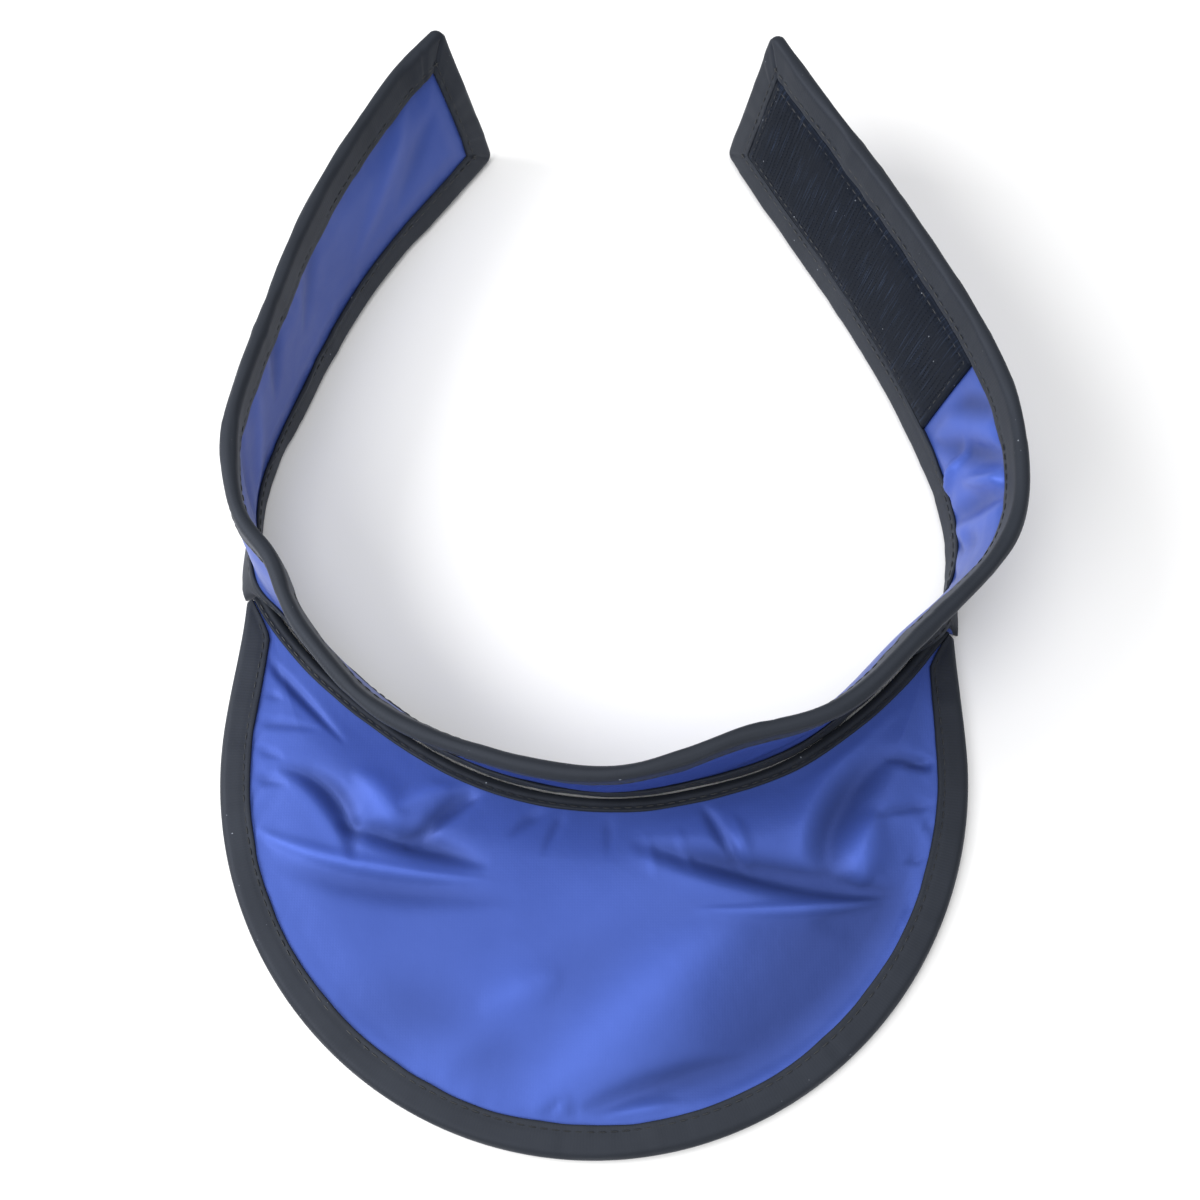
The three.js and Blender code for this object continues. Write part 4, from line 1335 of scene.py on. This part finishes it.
def make_stitches(sizes, colours):
    """The seams along the inner edges of the tapes and round the two patches."""
    shape = CollarShape(sizes)
    lift = shape.tape_outside - SUNK
    inset = sizes.band_tape_width - STITCH_GROOVE
    paths = []
    run_along = even(inset - shape.half_length, shape.half_length - inset, SEAM_STEP)
    for face in (1, -1):
        for level in (inset, sizes.band_height - inset):
            paths.append(shape.band(run_along, level, face * lift))
        rise = even(inset, sizes.band_height - inset, SEAM_STEP)
        for side in (-1, 1):
            paths.append(shape.band(side * (shape.half_length - inset), rise, face * lift))
    share = np.linspace(1 - SEAM_END, SEAM_END, RIM_SEAM_POINTS)
    widths = shape.rim_tape_width(share) - STITCH_GROOVE
    neck = np.linspace(-SEAM_END, SEAM_END, NECK_SEAM_POINTS)
    neck_inset = np.full(neck.size, sizes.neck_tape_width - NECK_STITCH_GROOVE)
    for face in (1, -1):
        level = shape.tape_outside + face * lift
        paths.append(shape.on_bib(shape.from_rim(share, widths), level))
        paths.append(shape.on_bib(shape.from_neckline(neck, neck_inset), level))
    for side, face, patch_length in ((1, -1, sizes.hook_length), (-1, 1, sizes.loop_length)):
        near, far = shape.patch_start - PATCH_SEAM, shape.patch_start - patch_length + PATCH_SEAM
        low = shape.patch_low + PATCH_SEAM
        high = sizes.band_height - low
        top = face * (shape.tape_inside + sizes.patch_thickness - PATCH_SEAM_SUNK)
        rise = even(low, high, SEAM_STEP)
        for level in (low, high):
            paths.append(shape.band(side * even(far, near, SEAM_STEP), level, top))
        paths.append(shape.band(side * far, rise, top))
        paths.append(shape.band(side * near, rise, top))
    mesh = bpy.data.meshes.new("seam_stitches")
    points = np.vstack(paths)
    edges = []
    start = 0
    for path in paths:
        edges += [(start + i, start + i + 1) for i in range(len(path) - 1)]
        start += len(path)
    mesh.from_pydata(points.tolist(), edges, [])
    piece = in_scene("seam_stitches", mesh)
    material = sewing_thread(colours)
    run_tree(piece, stitch_tree(material), {
        "Pitch": sizes.stitch_pitch, "Stitch Length": sizes.stitch_length,
        "Thread Thickness": sizes.thread_thickness})
    finish_piece(piece, "binding_tape", material)


def make_stage(colours):
    """A pale floor, soft lights and a camera at the photograph's angle."""
    floor_mesh = bpy.data.meshes.new("floor")
    corners = [(-FLOOR_HALF, -FLOOR_HALF), (FLOOR_HALF, -FLOOR_HALF), (FLOOR_HALF, FLOOR_HALF),
               (-FLOOR_HALF, FLOOR_HALF)]
    floor_mesh.from_pydata([(x, y, -FLOOR_DROP) for x, y in corners], [], [(0, 1, 2, 3)])
    floor = in_scene("floor", floor_mesh)
    material, _ = new_material("pale matt floor")
    floor_mesh.materials.append(surfaced(material, {
        "Base Color": rgba(colours.floor), "Roughness": 0.9, "Specular IOR Level": 0.1}))
    world = bpy.data.worlds.new("studio")
    world.use_nodes = True
    background = world.node_tree.nodes["Background"]
    background.inputs["Color"].default_value = (1, 1, 1, 1)
    background.inputs["Strength"].default_value = ROOM_LIGHT
    bpy.context.scene.world = world
    bpy.context.scene.view_settings.view_transform = "Standard"
    for row in LIGHTS:
        light = bpy.data.lights.new(row.name, "AREA")
        light.shape = "SQUARE"
        light.size = row.size
        light.energy = row.power
        lamp = in_scene(row.name, light)
        lamp.location = row.place
        lamp.rotation_euler = Vector(row.place).to_track_quat("Z", "Y").to_euler()
    make_camera()


def make_camera():
    """The camera stands in front of the collar and looks down at it."""
    elevation = math.radians(CAMERA_ELEVATION)
    away = Vector((0, -math.cos(elevation), math.sin(elevation)))
    data = bpy.data.cameras.new("photo view")
    data.lens = CAMERA_LENS
    data.sensor_width = CAMERA_SENSOR
    data.clip_start = 0.01
    camera = in_scene("photo view", data)
    camera.location = Vector(CAMERA_AIM) * MM + away * CAMERA_DISTANCE
    camera.rotation_euler = away.to_track_quat("Z", "Y").to_euler()
    bpy.context.scene.camera = camera


class COLLAR_OT_neck_band(bpy.types.Operator):
    """Makes the band's padded nylon cover"""

    bl_idname = "collar.neck_band"
    bl_label = "Neck band"

    def execute(self, context):
        make_neck_band(context.scene.collar_sizes, context.scene.collar_colours)
        return {"FINISHED"}


class COLLAR_OT_band_binding(bpy.types.Operator):
    """Makes the tape folded over the band's edge"""

    bl_idname = "collar.band_binding"
    bl_label = "Band binding"

    def execute(self, context):
        make_band_binding(context.scene.collar_sizes, context.scene.collar_colours)
        return {"FINISHED"}


class COLLAR_OT_fastening(bpy.types.Operator):
    """Makes the hook patch and the loop patch"""

    bl_idname = "collar.fastening"
    bl_label = "Hook and loop patches"

    def execute(self, context):
        make_fastening(context.scene.collar_sizes, context.scene.collar_colours)
        return {"FINISHED"}


class COLLAR_OT_bib_panel(bpy.types.Operator):
    """Makes the bib's padded nylon cover"""

    bl_idname = "collar.bib_panel"
    bl_label = "Bib"

    def execute(self, context):
        make_bib_panel(context.scene.collar_sizes, context.scene.collar_colours)
        return {"FINISHED"}


class COLLAR_OT_bib_bindings(bpy.types.Operator):
    """Makes the tapes round the bib and along its neckline"""

    bl_idname = "collar.bib_bindings"
    bl_label = "Bib bindings"

    def execute(self, context):
        make_bib_bindings(context.scene.collar_sizes, context.scene.collar_colours)
        return {"FINISHED"}


class COLLAR_OT_stitches(bpy.types.Operator):
    """Makes the stitches along the tapes and round the patches"""

    bl_idname = "collar.stitches"
    bl_label = "Stitches"

    def execute(self, context):
        make_stitches(context.scene.collar_sizes, context.scene.collar_colours)
        return {"FINISHED"}


class COLLAR_OT_stage(bpy.types.Operator):
    """Makes the floor, the lights and the camera"""

    bl_idname = "collar.stage"
    bl_label = "Stage"

    def execute(self, context):
        make_stage(context.scene.collar_colours)
        return {"FINISHED"}


STEPS = (COLLAR_OT_neck_band, COLLAR_OT_band_binding, COLLAR_OT_fastening, COLLAR_OT_bib_panel,
         COLLAR_OT_bib_bindings, COLLAR_OT_stitches, COLLAR_OT_stage)


class COLLAR_PT_steps(bpy.types.Panel):
    """Lists the collar's pieces, sizes and colours"""

    bl_label = "Thyroid shield collar"
    bl_idname = "COLLAR_PT_steps"
    bl_space_type = "VIEW_3D"
    bl_region_type = "UI"
    bl_category = "Collar"

    def draw(self, context):
        for step in STEPS:
            self.layout.operator(step.bl_idname)
        for group in (context.scene.collar_sizes, context.scene.collar_colours):
            for name in group.__annotations__:
                self.layout.prop(group, name)


CLASSES = (CollarSizes, CollarColours, *STEPS, COLLAR_PT_steps)


def register():
    for cls in CLASSES:
        bpy.utils.register_class(cls)
    bpy.types.Scene.collar_sizes = PointerProperty(type=CollarSizes)
    bpy.types.Scene.collar_colours = PointerProperty(type=CollarColours)


def unregister():
    del bpy.types.Scene.collar_colours
    del bpy.types.Scene.collar_sizes
    for cls in reversed(CLASSES):
        bpy.utils.unregister_class(cls)


def main():
    register()
    bpy.ops.collar.neck_band()
    bpy.ops.collar.band_binding()
    bpy.ops.collar.fastening()
    bpy.ops.collar.bib_panel()
    bpy.ops.collar.bib_bindings()
    bpy.ops.collar.stitches()
    bpy.ops.collar.stage()


if __name__ == "__main__":
    main()
